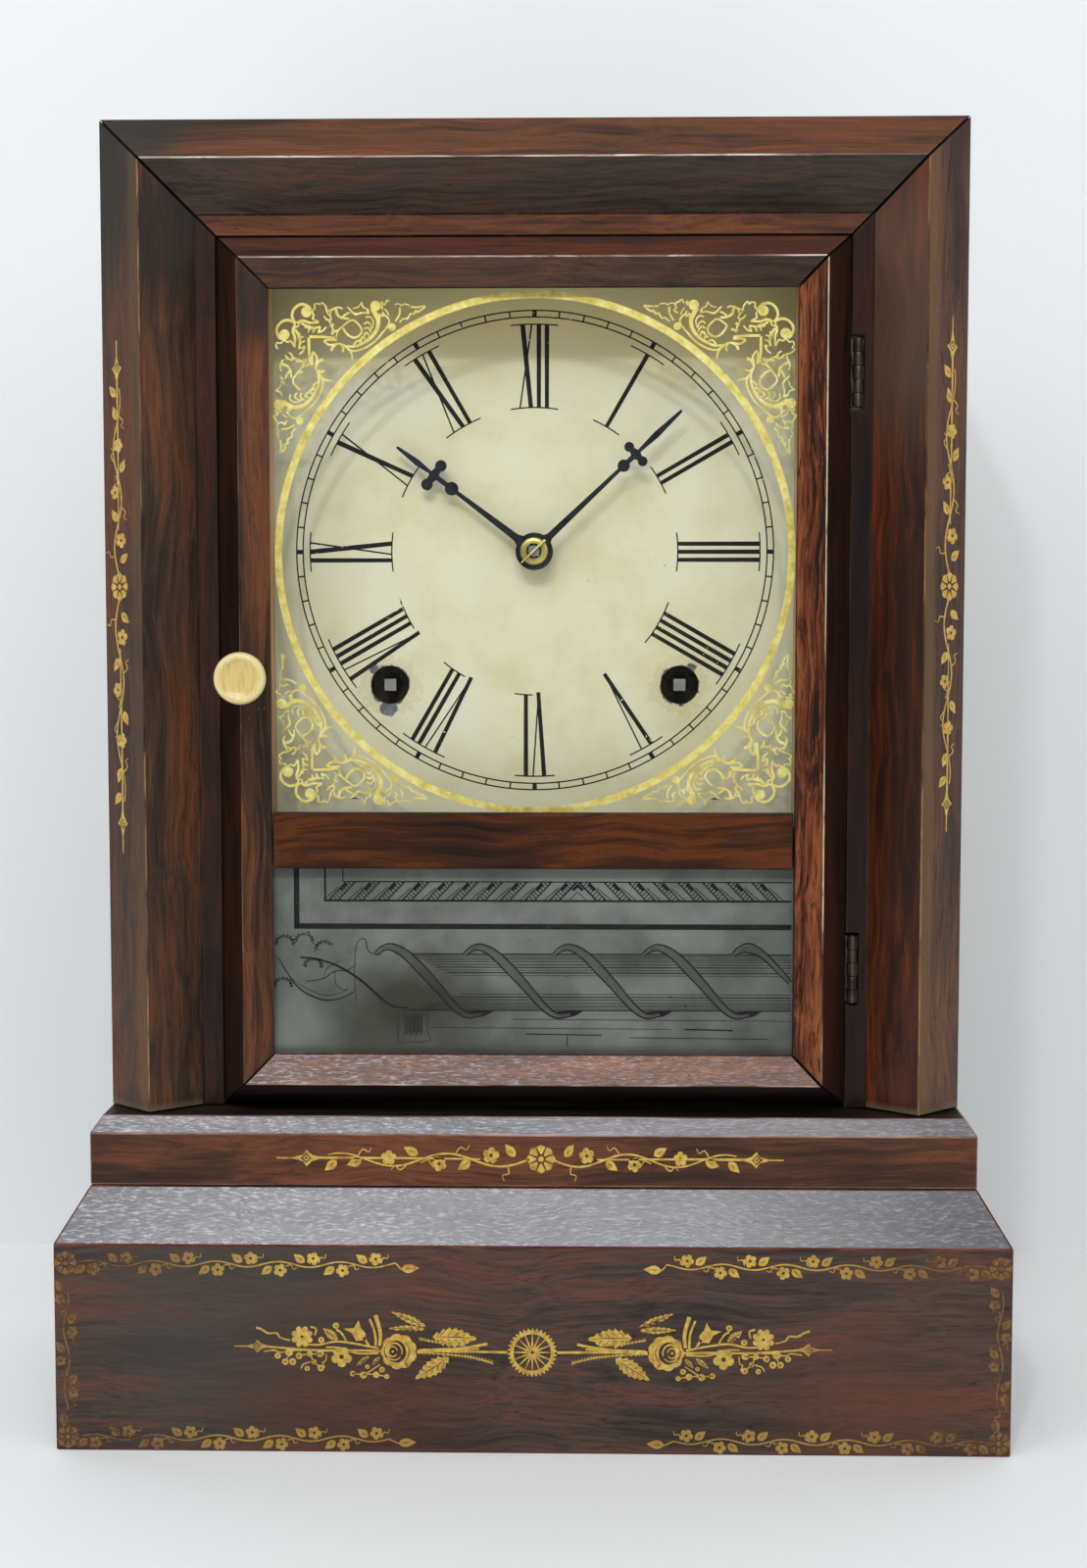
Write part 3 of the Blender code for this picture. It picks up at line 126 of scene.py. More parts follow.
# %% One function for all nodes
def add(tree, kind, inputs=None, stops=None, **settings):
    """Adds a node. inputs maps a socket's name or number to a value or to another node's output."""
    new = tree.nodes.new(kind)
    for key, value in settings.items():
        setattr(new, key, value)
    if stops:
        while len(new.color_ramp.elements) < len(stops):
            new.color_ramp.elements.new(0.5)
        for element, (position, colour) in zip(new.color_ramp.elements, stops):
            element.position = position
            element.color = colour
    for key, value in (inputs or {}).items():
        if isinstance(value, bpy.types.NodeSocket):
            tree.links.new(value, new.inputs[key])
        else:
            new.inputs[key].default_value = value
    return new


# %% A material with its shader's plain values
def finish(name, **values):
    """A new material, its node tree and its shader, whose sockets get the plain values."""
    material = bpy.data.materials.new(name)
    material.use_nodes = True
    tree = material.node_tree
    shader = tree.nodes["Principled BSDF"]
    for key, value in values.items():
        shader.inputs[key.replace("_", " ")].default_value = value
    return material, tree, shader


# %% Pattern sizes in millimetres
def pitch(width, length=None, along="Z"):
    """A Mapping scale whose pattern repeats about every width across the grain and length along it, in mm."""
    sizes = [width, width, width]
    sizes["XYZ".index(along)] = length or width
    return tuple(1 / (size * MM) for size in sizes)


print("1 mm of grain is", pitch(1, 40)[0], "pattern units per metre")


# %% A ragged round patch
def patch(tree, place, rough, centre, radius, ragged, edge=0.35):
    """1 within radius of centre, falling to 0 over the edge in mm. Noise makes the outline ragged."""
    reach = add(tree, "ShaderNodeVectorMath", {0: place, 1: centre}, operation="DISTANCE")
    frayed = add(
        tree, "ShaderNodeMath", {0: rough, 1: ragged * MM, 2: reach.outputs["Value"]},
        operation="MULTIPLY_ADD"
    )
    return add(
        tree, "ShaderNodeMapRange",
        {"Value": frayed.outputs[0], "From Min": radius * MM, "From Max": (radius + edge) * MM, "To Min": 1.0,
         "To Max": 0.0},
    ).outputs[0]

# %% [markdown]
# ## The wall and the table
#
# The wall stands close behind the clock, so that its shadow shows on the right. Both surfaces are plain and
# pale, with only the faint unevenness of paint and of a paper sheet. The wall is painted on one side only:
# from behind it is clear, so that the back of the clock can be looked at too.


# %% Backdrop
def pale_paint(name, code, size, one_sided=False):
    """Matt paint with a faint cloudiness, clear from behind where it is one-sided."""
    material, tree, shader = finish(name, Roughness=0.8)
    place = add(tree, "ShaderNodeTexCoord").outputs["Object"]
    cloud = add(tree, "ShaderNodeTexNoise", {"Vector": place, "Scale": 1 / size, "Detail": 3.0})
    tone = add(
        tree, "ShaderNodeMix", {0: cloud.outputs["Fac"], 6: tint(code), 7: tint("#FFFFFF")}, data_type="RGBA"
    )
    soft = add(tree, "ShaderNodeMix", {0: 0.85, 6: tone.outputs[2], 7: tint(code)}, data_type="RGBA")
    tree.links.new(soft.outputs[2], shader.inputs["Base Color"])
    if one_sided:
        behind = add(tree, "ShaderNodeNewGeometry").outputs["Backfacing"]
        clear = add(tree, "ShaderNodeBsdfTransparent").outputs[0]
        seen = add(tree, "ShaderNodeMixShader", {0: behind, 1: shader.outputs[0], 2: clear})
        tree.links.new(seen.outputs[0], tree.nodes["Material Output"].inputs["Surface"])
    return material


WALL_SET = 0.150
bpy.ops.mesh.primitive_plane_add(size=6, location=(0, WALL_SET, 2.9), rotation=(math.radians(90), 0, 0))
wall = bpy.context.object
wall.name = "wall"
wall.data.materials.append(pale_paint("wall_paint", "#EAEDF0", 0.3, one_sided=True))
bpy.ops.mesh.primitive_plane_add(size=8, location=(0, 0, 0))
table = bpy.context.object
table.name = "table"
table.data.materials.append(pale_paint("table_paper", "#F5F6F7", 0.2))
print("wall", WALL_SET / MM, "mm behind the clock's middle")

# %% [markdown]
# ## Rosewood veneer
#
# The case is softwood under thin rosewood veneer, glued, scraped and shellacked. The wood drifts slowly
# between near-black and red-brown, with soft streaks a few millimetres wide, a fine grain, and short dark
# pores. Each is a noise that is stretched along the grain, and a slow warp keeps the lines from being ruled.
# Every face of a moulding was veneered with its own strip, so each strip gets its own three tones: dark,
# usual and warm. Real grain, pores and crackle are only a tenth or two of a millimetre wide. They are drawn
# several times as coarse, because they would melt into a plain brown at the picture's size.


# %% Sizes and places of the veneer's marks, in mm
WARP_LENGTH, WARP_REACH = 38, 9
# Each layer has its name, its width across and length along the grain, and its noise detail.
VENEER_LAYERS = (
    ("drift", 15, 100, 2), ("streak", 1.8, 48, 4), ("grain", 0.6, 20, 2), ("pore", 0.45, 3.6, 1),
    ("chip", 1.3, 2.6, 2),
)
STREAK_SHARE, TONE_SPREAD = 0.45, 0.115
RIDGE_X, RIDGE_FADE, RIDGE_WAVE = 115.0, 1.4, 3.0
STILE_FOOT_Z, DUST_RISE = 95.4, 2.2
SPLINTER_WIDTH, SPLINTER_LENGTH = 0.9, 9
GLINT_LENGTHS = 8
# The painted glints are strongest at the first x and faintest at the second, in mm, following the lamps'
# sheen on the slopes.
GLINTS_MOST_X, GLINTS_LEAST_X = -90, 60
print("veneer layers", [layer[0] for layer in VENEER_LAYERS])


# %% Rosewood
def rosewood(name, along, shift, dark, usual, warm, gloss=0.12, contrast=1.0, chips=0.5, glints_and_crackle=0.0,
             glint=0.35, flaked=False, tan_ridge=0.0, dusty_foot=0.0, stains_and_sheen=(), worn=None):
    """Shellacked rosewood veneer with its grain along an axis.

    crackle is how strongly pale glints, which are painted highlights, and dark craze lines are mixed into
    its colour, with a bump to match. The glints are painted stronger at the left, where the lamps' sheen is
    brightest, and glint is their width in mm. flaked adds lifted splinters, tan_ridge a faded band beside
    the stile's ridge, and dusty_foot grey dust where a stile stands on the plinth. stains are (x, z, radius,
    colour, share), and one of them is a painted sheen; worn is a fingered place as (x, z, radius), all in mm.
    """
    material, tree, shader = finish(
        name, Coat_Weight=gloss, Coat_Roughness=0.27 if glints_and_crackle else 0.3, Specular_IOR_Level=0.1,
        Coat_IOR=1.6 if glints_and_crackle else 1.5,
    )
    place = add(tree, "ShaderNodeTexCoord").outputs["Object"]
    parts = add(tree, "ShaderNodeSeparateXYZ", {"Vector": place})
    flat = add(
        tree, "ShaderNodeCombineXYZ", {"X": parts.outputs["X"], "Z": parts.outputs["Z"]}
    ).outputs[0]
    slow = add(tree, "ShaderNodeTexNoise", {"Vector": place, "Scale": 1 / (WARP_LENGTH * MM), "Detail": 1.0})
    bend = add(
        tree, "ShaderNodeVectorMath", {0: slow.outputs["Color"], 1: (0.5, 0.5, 0.5)}, operation="SUBTRACT"
    )
    bent = add(
        tree, "ShaderNodeVectorMath", {0: bend.outputs[0], 1: (WARP_REACH * MM,) * 3, 2: place},
        operation="MULTIPLY_ADD",
    ).outputs[0]
    layers = {}
    for layer, width, length, detail in VENEER_LAYERS:
        stretched = add(
            tree, "ShaderNodeMapping",
            {"Vector": bent, "Location": shift, "Scale": pitch(width, length, along)}
        )
        layers[layer] = add(
            tree, "ShaderNodeTexNoise",
            {"Vector": stretched.outputs[0], "Scale": 1.0, "Detail": detail, "Roughness": 0.6},
        ).outputs["Fac"]
    level = add(tree, "ShaderNodeMix", {0: STREAK_SHARE, 2: layers["drift"], 3: layers["streak"]})
    spread = TONE_SPREAD / contrast
    tones = add(
        tree, "ShaderNodeValToRGB", {"Fac": level.outputs[0]},
        stops=[(0.5 - spread, tint(dark)), (0.5, tint(usual)), (0.5 + spread, tint(warm))],
    )
    grain = add(
        tree, "ShaderNodeMapRange",
        {"Value": layers["grain"], "From Min": 0.42, "From Max": 0.70, "To Max": 0.5}
    )
    grained = add(
        tree, "ShaderNodeMix", {0: grain.outputs[0], 6: tones.outputs[0], 7: tint("#1B1412")},
        data_type="RGBA"
    )
    pores = add(
        tree, "ShaderNodeMapRange",
        {"Value": layers["pore"], "From Min": 0.66, "From Max": 0.74, "To Max": 0.6}
    )
    pored = add(
        tree, "ShaderNodeMix", {0: pores.outputs[0], 6: grained.outputs[2], 7: tint("#140D0B")},
        data_type="RGBA"
    )
    colour = pored.outputs[2]
    if flaked:
        lifted = add(
            tree, "ShaderNodeMapping",
            {"Vector": bent, "Location": shift, "Scale": pitch(SPLINTER_WIDTH, SPLINTER_LENGTH, along)}
        )
        splinter = add(
            tree, "ShaderNodeTexNoise",
            {"Vector": lifted.outputs[0], "Scale": 1.0, "Detail": 3.0, "Roughness": 0.6}
        ).outputs["Fac"]
        bare = add(
            tree, "ShaderNodeMapRange",
            {"Value": splinter, "From Min": 0.56, "From Max": 0.66, "To Max": 0.75}
        )
        gap = add(
            tree, "ShaderNodeMapRange",
            {"Value": splinter, "From Min": 0.36, "From Max": 0.44, "To Min": 0.85, "To Max": 0.0},
        )
        colour = add(
            tree, "ShaderNodeMix", {0: bare.outputs[0], 6: colour, 7: tint("#8E4A2A")}, data_type="RGBA"
        ).outputs[2]
        colour = add(
            tree, "ShaderNodeMix", {0: gap.outputs[0], 6: colour, 7: tint("#150B08")}, data_type="RGBA"
        ).outputs[2]
    for x, z, radius, code, share in stains_and_sheen:
        near = patch(tree, flat, slow.outputs["Fac"], (x * MM, 0, z * MM), radius, 0.5 * radius, edge=radius)
        part = add(tree, "ShaderNodeMath", {0: near, 1: share}, operation="MULTIPLY")
        colour = add(
            tree, "ShaderNodeMix", {0: part.outputs[0], 6: colour, 7: tint(code)}, data_type="RGBA"
        ).outputs[2]
    if tan_ridge:
        side = add(tree, "ShaderNodeMath", {0: parts.outputs["X"]}, operation="ABSOLUTE")
        wavy = add(
            tree, "ShaderNodeMath", {0: layers["streak"], 1: RIDGE_WAVE * MM, 2: side.outputs[0]},
            operation="MULTIPLY_ADD"
        )
        band = add(
            tree, "ShaderNodeMapRange",
            {"Value": wavy.outputs[0], "From Min": RIDGE_X * MM, "From Max": (RIDGE_X + RIDGE_FADE) * MM,
             "To Min": tan_ridge, "To Max": 0.0},
        )
        colour = add(
            tree, "ShaderNodeMix", {0: band.outputs[0], 6: colour, 7: tint("#6E5539")}, data_type="RGBA"
        ).outputs[2]
    if dusty_foot:
        dust = add(
            tree, "ShaderNodeMapRange",
            {"Value": parts.outputs["Z"], "From Min": STILE_FOOT_Z * MM,
             "From Max": (STILE_FOOT_Z + DUST_RISE) * MM, "To Min": dusty_foot, "To Max": 0.0},
        )
        colour = add(
            tree, "ShaderNodeMix", {0: dust.outputs[0], 6: colour, 7: tint("#746C58")}, data_type="RGBA"
        ).outputs[2]
    chip = layers["chip"]
    if worn:
        handled = patch(
            tree, flat, slow.outputs["Fac"], (worn[0] * MM, 0, worn[1] * MM), worn[2], 4, edge=worn[2]
        )
        chip = add(
            tree, "ShaderNodeMath", {0: handled, 1: 0.13, 2: chip}, operation="MULTIPLY_ADD"
        ).outputs[0]
    flecks = add(
        tree, "ShaderNodeMapRange", {"Value": chip, "From Min": 0.79, "From Max": 0.84, "To Max": chips}
    )
    colour = add(
        tree, "ShaderNodeMix", {0: flecks.outputs[0], 6: colour, 7: tint("#9A8468")}, data_type="RGBA"
    ).outputs[2]
    height = add(
        tree, "ShaderNodeMath", {0: pores.outputs[0], 1: -0.6, 2: layers["grain"]}, operation="MULTIPLY_ADD"
    ).outputs[0]
    reach = 0.06
    # Pale glints are painted into the colour as highlights, fading toward the right as the lamps' sheen does;
    # dark craze lines and a bump go with them.
    if glints_and_crackle:
        skin = add(
            tree, "ShaderNodeMapping", {"Vector": bent, "Scale": pitch(glint, GLINT_LENGTHS * glint, along)}
        )
        glints = add(
            tree, "ShaderNodeTexNoise",
            {"Vector": skin.outputs[0], "Scale": 1.0, "Detail": 3.0, "Roughness": 0.65}
        )
        painted_glints = add(
            tree, "ShaderNodeMapRange",
            {"Value": glints.outputs["Fac"], "From Min": 0.52, "From Max": 0.66, "To Max": glints_and_crackle},
        )
        painted_glint_falloff = add(
            tree, "ShaderNodeMapRange",
            {"Value": parts.outputs["X"], "From Min": GLINTS_MOST_X * MM, "From Max": GLINTS_LEAST_X * MM,
             "To Min": 0.72, "To Max": 0.3},
        )
        share = add(
            tree, "ShaderNodeMath", {0: painted_glints.outputs[0], 1: painted_glint_falloff.outputs[0]}, operation="MULTIPLY"
        )
        gaps = add(
            tree, "ShaderNodeMapRange",
            {"Value": glints.outputs["Fac"], "From Min": 0.32, "From Max": 0.43, "To Min": 0.5,
             "To Max": 0.0},
        )
        colour = add(
            tree, "ShaderNodeMix", {0: gaps.outputs[0], 6: colour, 7: tint("#20191A")}, data_type="RGBA"
        ).outputs[2]
        # The pale bluish colour of the glints is a painted highlight.
        colour = add(
            tree, "ShaderNodeMix", {0: share.outputs[0], 6: colour, 7: tint("#C6CCDE")}, data_type="RGBA"
        ).outputs[2]
        height = add(
            tree, "ShaderNodeMath", {0: glints.outputs["Fac"], 1: 2.0, 2: height}, operation="MULTIPLY_ADD"
        ).outputs[0]
        reach = 0.06 * glints_and_crackle
    dull = add(
        tree, "ShaderNodeMapRange",
        {"Value": slow.outputs["Fac"], "From Min": 0.3, "From Max": 0.7, "To Min": 0.38, "To Max": 0.52},
    )
    bump = add(tree, "ShaderNodeBump", {"Strength": 0.4, "Distance": reach * MM, "Height": height})
    tree.links.new(colour, shader.inputs["Base Color"])
    tree.links.new(dull.outputs[0], shader.inputs["Roughness"])
    tree.links.new(bump.outputs[0], shader.inputs["Normal"])
    tree.links.new(bump.outputs[0], shader.inputs["Coat Normal"])
    return material


# %% Small dark dents in the sloped top of the base, as x and distance back from the slope's foot
SLOPE_FOOT, SLOPE_RUN, SLOPE_RISE = 60.0, 8.9, 14.8
DENTS = ((30.2, 3.8), (36.4, 4.5), (29.9, 2.3), (46.3, 5.9), (57.4, 4.8), (-59.9, 4.9), (3.0, 4.2))
DENT_RADIUS = 0.45
dents = [
    (x, SLOPE_FOOT + SLOPE_RISE * back / SLOPE_RUN, DENT_RADIUS, "#1A1112", 0.9) for x, back in DENTS
]
print(len(dents), "dents")

# %% The strips of veneer
# Each has its name, its grain's direction, its place in the noise, three tones, and what sets it apart.
STRIPS = (
    ("stile_left_outer", "Z", (3.1, 0.4, 1.7), "#3A302C", "#523F36", "#6A422D",
     dict(tan_ridge=0.3, dusty_foot=0.7, stains_and_sheen=[(-120, 366, 26, "#302E29", 0.75)])),
    ("stile_left_inner", "Z", (7.1, 3.4, 2.7), "#2C221D", "#4A3529", "#6B4029",
     dict(dusty_foot=0.6, stains_and_sheen=[(-104, 346, 14, "#2A241F", 0.7)])),
    ("stile_right_outer", "Z", (9.4, 2.2, 5.3), "#44342E", "#5A4339", "#704D38",
     dict(tan_ridge=0.6, dusty_foot=0.7)),
    # The pale patch near the top of this strip is a painted sheen, not a stain.
    ("stile_right_inner", "Z", (1.2, 8.2, 4.3), "#2A140A", "#4A2310", "#6A2E13",
     dict(gloss=0.3, contrast=1.2, dusty_foot=0.6, stains_and_sheen=[(104, 325, 28, "#5E4A3E", 0.5)])),
    ("fillet_upright", "Z", (4.4, 1.8, 8.8), "#1E1613", "#301F17", "#45241A", {}),
    ("fillet_right", "Z", (4.4, 2.8, 8.8), "#1A1210", "#2A1914", "#3C1C15", {}),
    ("top_outer", "X", (1.9, 7.7, 4.1), "#322217", "#5F3923", "#764127",
     dict(chips=0.8, stains_and_sheen=[(-116, 374, 13, "#2E2C27", 0.8)])),
    ("top_inner", "X", (5.9, 2.7, 7.1), "#342C25", "#4B3E36", "#5B4132", {}),
    ("fillet_top", "X", (8.1, 6.6, 2.2), "#342219", "#613A28", "#79482C", {}),
    ("door_edge", "Z", (6.6, 5.1, 2.9), "#19100C", "#2C1A12", "#3E1F15", {}),
    ("door_edge_low", "X", (2.6, 9.1, 4.9), "#1C1411", "#2B1D17", "#3B241A", {}),
    ("door_top_outer", "X", (4.7, 1.3, 8.2), "#2D1F1C", "#4A2F27", "#663728", dict(gloss=0.3)),
    ("door_top_inner", "X", (3.3, 5.5, 1.2), "#3A2C25", "#553D31", "#6B4732", {}),
    ("door_left_inner", "Z", (9.9, 4.6, 6.1), "#271B16", "#4E3222", "#6E4128",
     dict(contrast=1.4, chips=0.9, stains_and_sheen=[(-79, 327, 9, "#2B2521", 0.8)], worn=(-76, 218, 10))),
    ("door_right_inner", "Z", (2.9, 7.4, 3.5), "#24130B", "#62301A", "#94542F",
     dict(contrast=1.6, chips=1.0, flaked=True)),
    # The sill's glints are painted highlights.
    ("door_sill", "X", (6.2, 2.4, 9.5), "#50321F", "#7C4D33", "#9E613B",
     dict(gloss=0.7, glints_and_crackle=0.85, glint=0.4)),
    ("cross_rail", "X", (2.5, 6.1, 0.6), "#1F1004", "#3D1E0A", "#5D2E10", dict(contrast=1.3)),
    ("plinth", "X", (8.8, 3.3, 6.4), "#3E2A1F", "#5C3928", "#77432C", dict(contrast=1.1)),
    # The slope's grey-lilac tones are partly rosewood and partly a painted sheen of the bluish overhead
    # light, and its glints are painted highlights.
    ("plinth_slope", "X", (1.8, 3.9, 6.8), "#443B3B", "#665A5E", "#7A686A",
     dict(gloss=1.0, glints_and_crackle=0.95, glint=0.36)),
    ("base", "X", (0.7, 9.1, 3.6), "#36302D", "#524038", "#684133",
     dict(chips=0.7, stains_and_sheen=[
         (-84, 42, 30, "#45413D", 0.6), (-52, 12, 24, "#553224", 0.4), (95, 8, 22, "#5C3B2F", 0.5)
     ])),
    # As on the plinth, the grey-lilac tones are partly a painted sheen, and the glints are painted
    # highlights.
    ("base_slope", "X", (3.7, 4.1, 8.6), "#2A2225", "#40363A", "#524546",
     dict(gloss=0.97, glints_and_crackle=0.95, glint=0.38, stains_and_sheen=dents)),
    ("base_end", "Y", (2.7, 3.1, 7.6), "#36302D", "#524038", "#684133", dict(chips=0.7)),
    ("plinth_end", "Y", (6.8, 1.3, 4.4), "#3E291D", "#603926", "#80442A", {}),
    ("side", "Z", (5.2, 4.4, 7.9), "#30231E", "#4C352B", "#633D2C", {}),
    # The top's glints are painted highlights too.
    ("top", "X", (7.3, 8.5, 1.1), "#30231E", "#4C352B", "#633D2C", dict(gloss=0.5, glints_and_crackle=0.6)),
    ("worn_edge", "Z", (1.1, 2.8, 3.9), "#33241D", "#5A3F2E", "#8E6E4C", dict(contrast=1.8)),
    ("base_ridge", "X", (4.1, 0.8, 2.9), "#3A1C15", "#642B21", "#84493A", {}),
    ("plinth_ridge", "X", (2.4, 7.8, 1.9), "#4E3830", "#7E6056", "#AC9084", dict(gloss=0.5)),
    # The lying ridges' pale tones are partly rubbing and partly a painted highlight of the light from above.
    ("worn_and_lit_ridge", "X", (5.1, 6.8, 7.9), "#5A463C", "#A08A7C", "#D8CABE", dict(contrast=1.5, gloss=0.6)),
    ("worn_ridge_upright", "Z", (3.1, 2.8, 5.9), "#4A372B", "#8F7059", "#CDB89E", dict(contrast=1.8)),
    ("dull_edge", "Z", (8.3, 1.5, 2.4), "#1E1613", "#2C201A", "#4A3526", dict(gloss=0.0)),
)
veneer = {}
for name, along, shift, dark, usual, warm, apart in STRIPS:
    veneer[name] = rosewood("rosewood_" + name, along, shift, dark, usual, warm, **apart)
veneer["ledge"] = rosewood(
    "dusty_plinth_ledge", "X", (9.8, 1.9, 2.8), "#15100E", "#201815", "#33241C", gloss=0.0, chips=1.0
)
veneer["joint"] = rosewood(
    "dark_glue_joint", "X", (2.1, 2.8, 5.9), "#0C0908", "#15100E", "#241914", gloss=0.0
)
print(len(veneer), "strips of veneer")

# %% [markdown]
# ## Boards with worn edges
#
# A solid from the frame has ideal edges. On the real clock each corner of the veneer is rubbed round and
# lighter, and that thin line is what makes the mouldings readable. So each wooden solid is copied, its loose
# triangles are merged back into flat faces, and a narrow bevel with its own material rounds its edges. Mitred
# joints collect dirt and glue instead, so the bevel is dark there. A brush could paint the edges too, but the
# bevel follows every edge by itself and catches the light as a rubbed corner does.


# %% Select one object
def only(obj):
    """Selects obj alone and makes it active."""
    bpy.ops.object.select_all(action="DESELECT")
    obj.select_set(True)
    bpy.context.view_layer.objects.active = obj


# %% A merged copy of a solid
def merged_copy(node):
    """A copy of a solid's mesh with its triangles merged into flat faces."""
    obj = bpy.data.objects.new(node + "_dressed", nodes[node].data.copy())
    bpy.context.collection.objects.link(obj)
    obj.data.materials.clear()
    only(obj)
    bpy.ops.object.mode_set(mode="EDIT")
    bpy.ops.mesh.select_all(action="SELECT")
    bpy.ops.mesh.remove_doubles(threshold=0.005 * MM)
    bpy.ops.mesh.dissolve_limited(angle_limit=math.radians(0.6))
    bpy.ops.object.mode_set(mode="OBJECT")
    return obj


# %% A board with rubbed edges
def board(node, body, wood, rub=0.35, edge=None, sharper=12):
    """A dressed board that stands for a solid: edges sharper than that many degrees are rubbed round."""
    obj = merged_copy(node)
    obj.data.materials.append(wood)
    obj.data.materials.append(edge or wood)
    rounding = obj.modifiers.new("rubbed edge", "BEVEL")
    rounding.width = rub * MM
    rounding.segments = 2
    rounding.limit_method = "ANGLE"
    rounding.angle_limit = math.radians(sharper)
    rounding.material = 1
    bpy.ops.object.modifier_apply(modifier=rounding.name)
    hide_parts(node)
    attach(obj, body)
    return obj


# %% Give the faces that pass a test their own strip of veneer
def strip(obj, material, test, index=0):
    """Faces with the material index whose normal and centre pass the test get the material."""
    obj.data.materials.append(material)
    chosen = [
        face for face in obj.data.polygons if face.material_index == index and test(face.normal, face.center)
    ]
    for face in chosen:
        face.material_index = len(obj.data.materials) - 1
    return len(chosen)


# %% Dress the moulded frame and the door
FRAME_BOX, DOOR_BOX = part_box("frame_top_rail"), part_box("door_top_rail")
DOOR_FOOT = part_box("door_bottom_rail")[0].z
MID_HEIGHT = 0.2
MITRE_REACH, FRONT_REACH = 0.6 * MM, 1.2 * MM


def on_mitre(half, top, foot=None):
    """A test for places on the 45 degree joint lines of a frame with that half width, top and foot."""
    def test(normal, centre):
        inward = half - abs(centre.x)
        ends = [top - centre.z] + ([centre.z - foot] if foot is not None else [])
        return min(abs(inward - end) for end in ends) < MITRE_REACH
    return test


frame_mitre = on_mitre(FRAME_BOX[1].x, FRAME_BOX[1].z)
door_mitre = on_mitre(DOOR_BOX[1].x, DOOR_BOX[1].z, DOOR_FOOT)
FRONT_FLAT = -0.985
for node, body, outer, inner, flat, mitre in (
    ("frame_stile_left", "case", "stile_left_outer", "stile_left_inner", "fillet_upright", frame_mitre),
    ("frame_stile_right", "case", "stile_right_outer", "stile_right_inner", "fillet_right", frame_mitre),
    ("frame_top_rail", "case", "top_outer", "top_inner", "fillet_top", frame_mitre),
    ("door_stile_left", "door", "door_edge", "door_left_inner", "door_edge", door_mitre),
    ("door_stile_right", "door", "door_edge", "door_right_inner", "door_edge", door_mitre),
    ("door_top_rail", "door", "door_top_outer", "door_top_inner", "door_edge", door_mitre),
    ("door_bottom_rail", "door", "door_edge_low", "door_sill", "door_edge", door_mitre),
):
    lying = "rail" in node
    # Rails get the palest edge because their ridges face the light from above: partly a painted highlight on
    # top of the rubbing.
    edge = "worn_and_lit_ridge" if lying else "worn_edge" if body == "case" else "worn_ridge_upright"
    piece = board(node, body, veneer[outer], edge=veneer[edge])
    low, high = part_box(node)
    far = (low.z + high.z) / 2 > MID_HEIGHT if lying else high.x > 0
    away = 1 if far else -1

    def outward(normal, lying=lying, away=away):
        return away * (normal.z if lying else normal.x)

    faces = [
        strip(piece, veneer[inner], lambda normal, centre: outward(normal) < -0.1),
        strip(piece, veneer[flat], lambda normal, centre: normal.y < FRONT_FLAT),
        strip(piece, veneer["joint"], mitre, index=1),
        strip(
            piece, veneer["dull_edge"], lambda normal, centre: centre.y > low.y + FRONT_REACH, index=1
        ),
    ]
    print(node, "inner, flat, joint and dull faces:", faces)

# %% Dress the cross rail, the base and the case
for node, body, wood, edge in (
    ("door_cross_rail", "door", "cross_rail", "dull_edge"),
    ("base_front_board", "case", "base", "base_ridge"),
    ("base_side_left", "case", "base", "base_ridge"),
    ("base_side_right", "case", "base", "base_ridge"),
    ("plinth_board", "case", "plinth", "plinth_ridge"),
    ("case_side_left", "case", "side", "worn_edge"),
    ("case_side_right", "case", "side", "worn_edge"),
    ("case_top_board", "case", "top", "worn_edge"),
):
    piece = board(node, body, veneer[wood], edge=veneer[edge])
    if wood in ("base", "plinth"):
        if wood == "plinth":
            print(node, "ledge faces:", strip(piece, veneer["ledge"], lambda normal, centre: normal.z > 0.98))
        print(
            node, "slope faces:", strip(piece, veneer[wood + "_slope"], lambda normal, centre: normal.z > 0.2)
        )
        print(
            node, "end faces:",
            strip(piece, veneer[wood + "_end"], lambda normal, centre: abs(normal.x) > 0.9)
        )

# %% [markdown]
# ## Thin painted and gilt shapes
#
# Numerals, gilding and stencils are paint: flat shapes a few hundredths of a millimetre thick. A filled 2D
# curve is the natural tool, because it fills any outline, leaves its inner rings open, and turns into a
# closed plate when it is extruded and converted. The outlines are written in millimetres, flat on the
# ground, and the finished mesh is then stood up on the surface that carries it.


# %% A smooth line through a few points
def through(points, steps=5):
    """A Catmull-Rom line through the points."""
    last = len(points) - 1
    line = []
    for i in range(last):
        before, start, end, after = (points[min(max(i + k, 0), last)] for k in (-1, 0, 1, 2))
        for t in (step / steps for step in range(steps)):
            line.append(tuple(
                0.5 * (
                    2 * s + (e - b) * t + (2 * b - 5 * s + 4 * e - a) * t**2 + (3 * s - b - 3 * e + a) * t**3
                )
                for b, s, e, a in zip(before, start, end, after)
            ))
    line.append(tuple(points[-1]))
    return line


# %% Brush strokes, rings and discs
def stroke(points, start, end=None, middle=None, steps=5):
    """The outline of a brush stroke through the points, with its width at the start, middle and end."""
    end = start if end is None else end
    middle = (start + end) / 2 if middle is None else middle
    line = through(points, steps)
    left, right = [], []
    for i, (x, y) in enumerate(line):
        t = 2 * i / (len(line) - 1)
        half = 0.5 * (start + (middle - start) * t if t < 1 else middle + (end - middle) * (t - 1))
        ahead, behind = line[min(i + 1, len(line) - 1)], line[max(i - 1, 0)]
        run, rise = ahead[0] - behind[0], ahead[1] - behind[1]
        reach = math.hypot(run, rise) or 1.0
        left.append((x - rise / reach * half, y + run / reach * half))
        right.append((x + rise / reach * half, y - run / reach * half))
    return [left + right[::-1]]


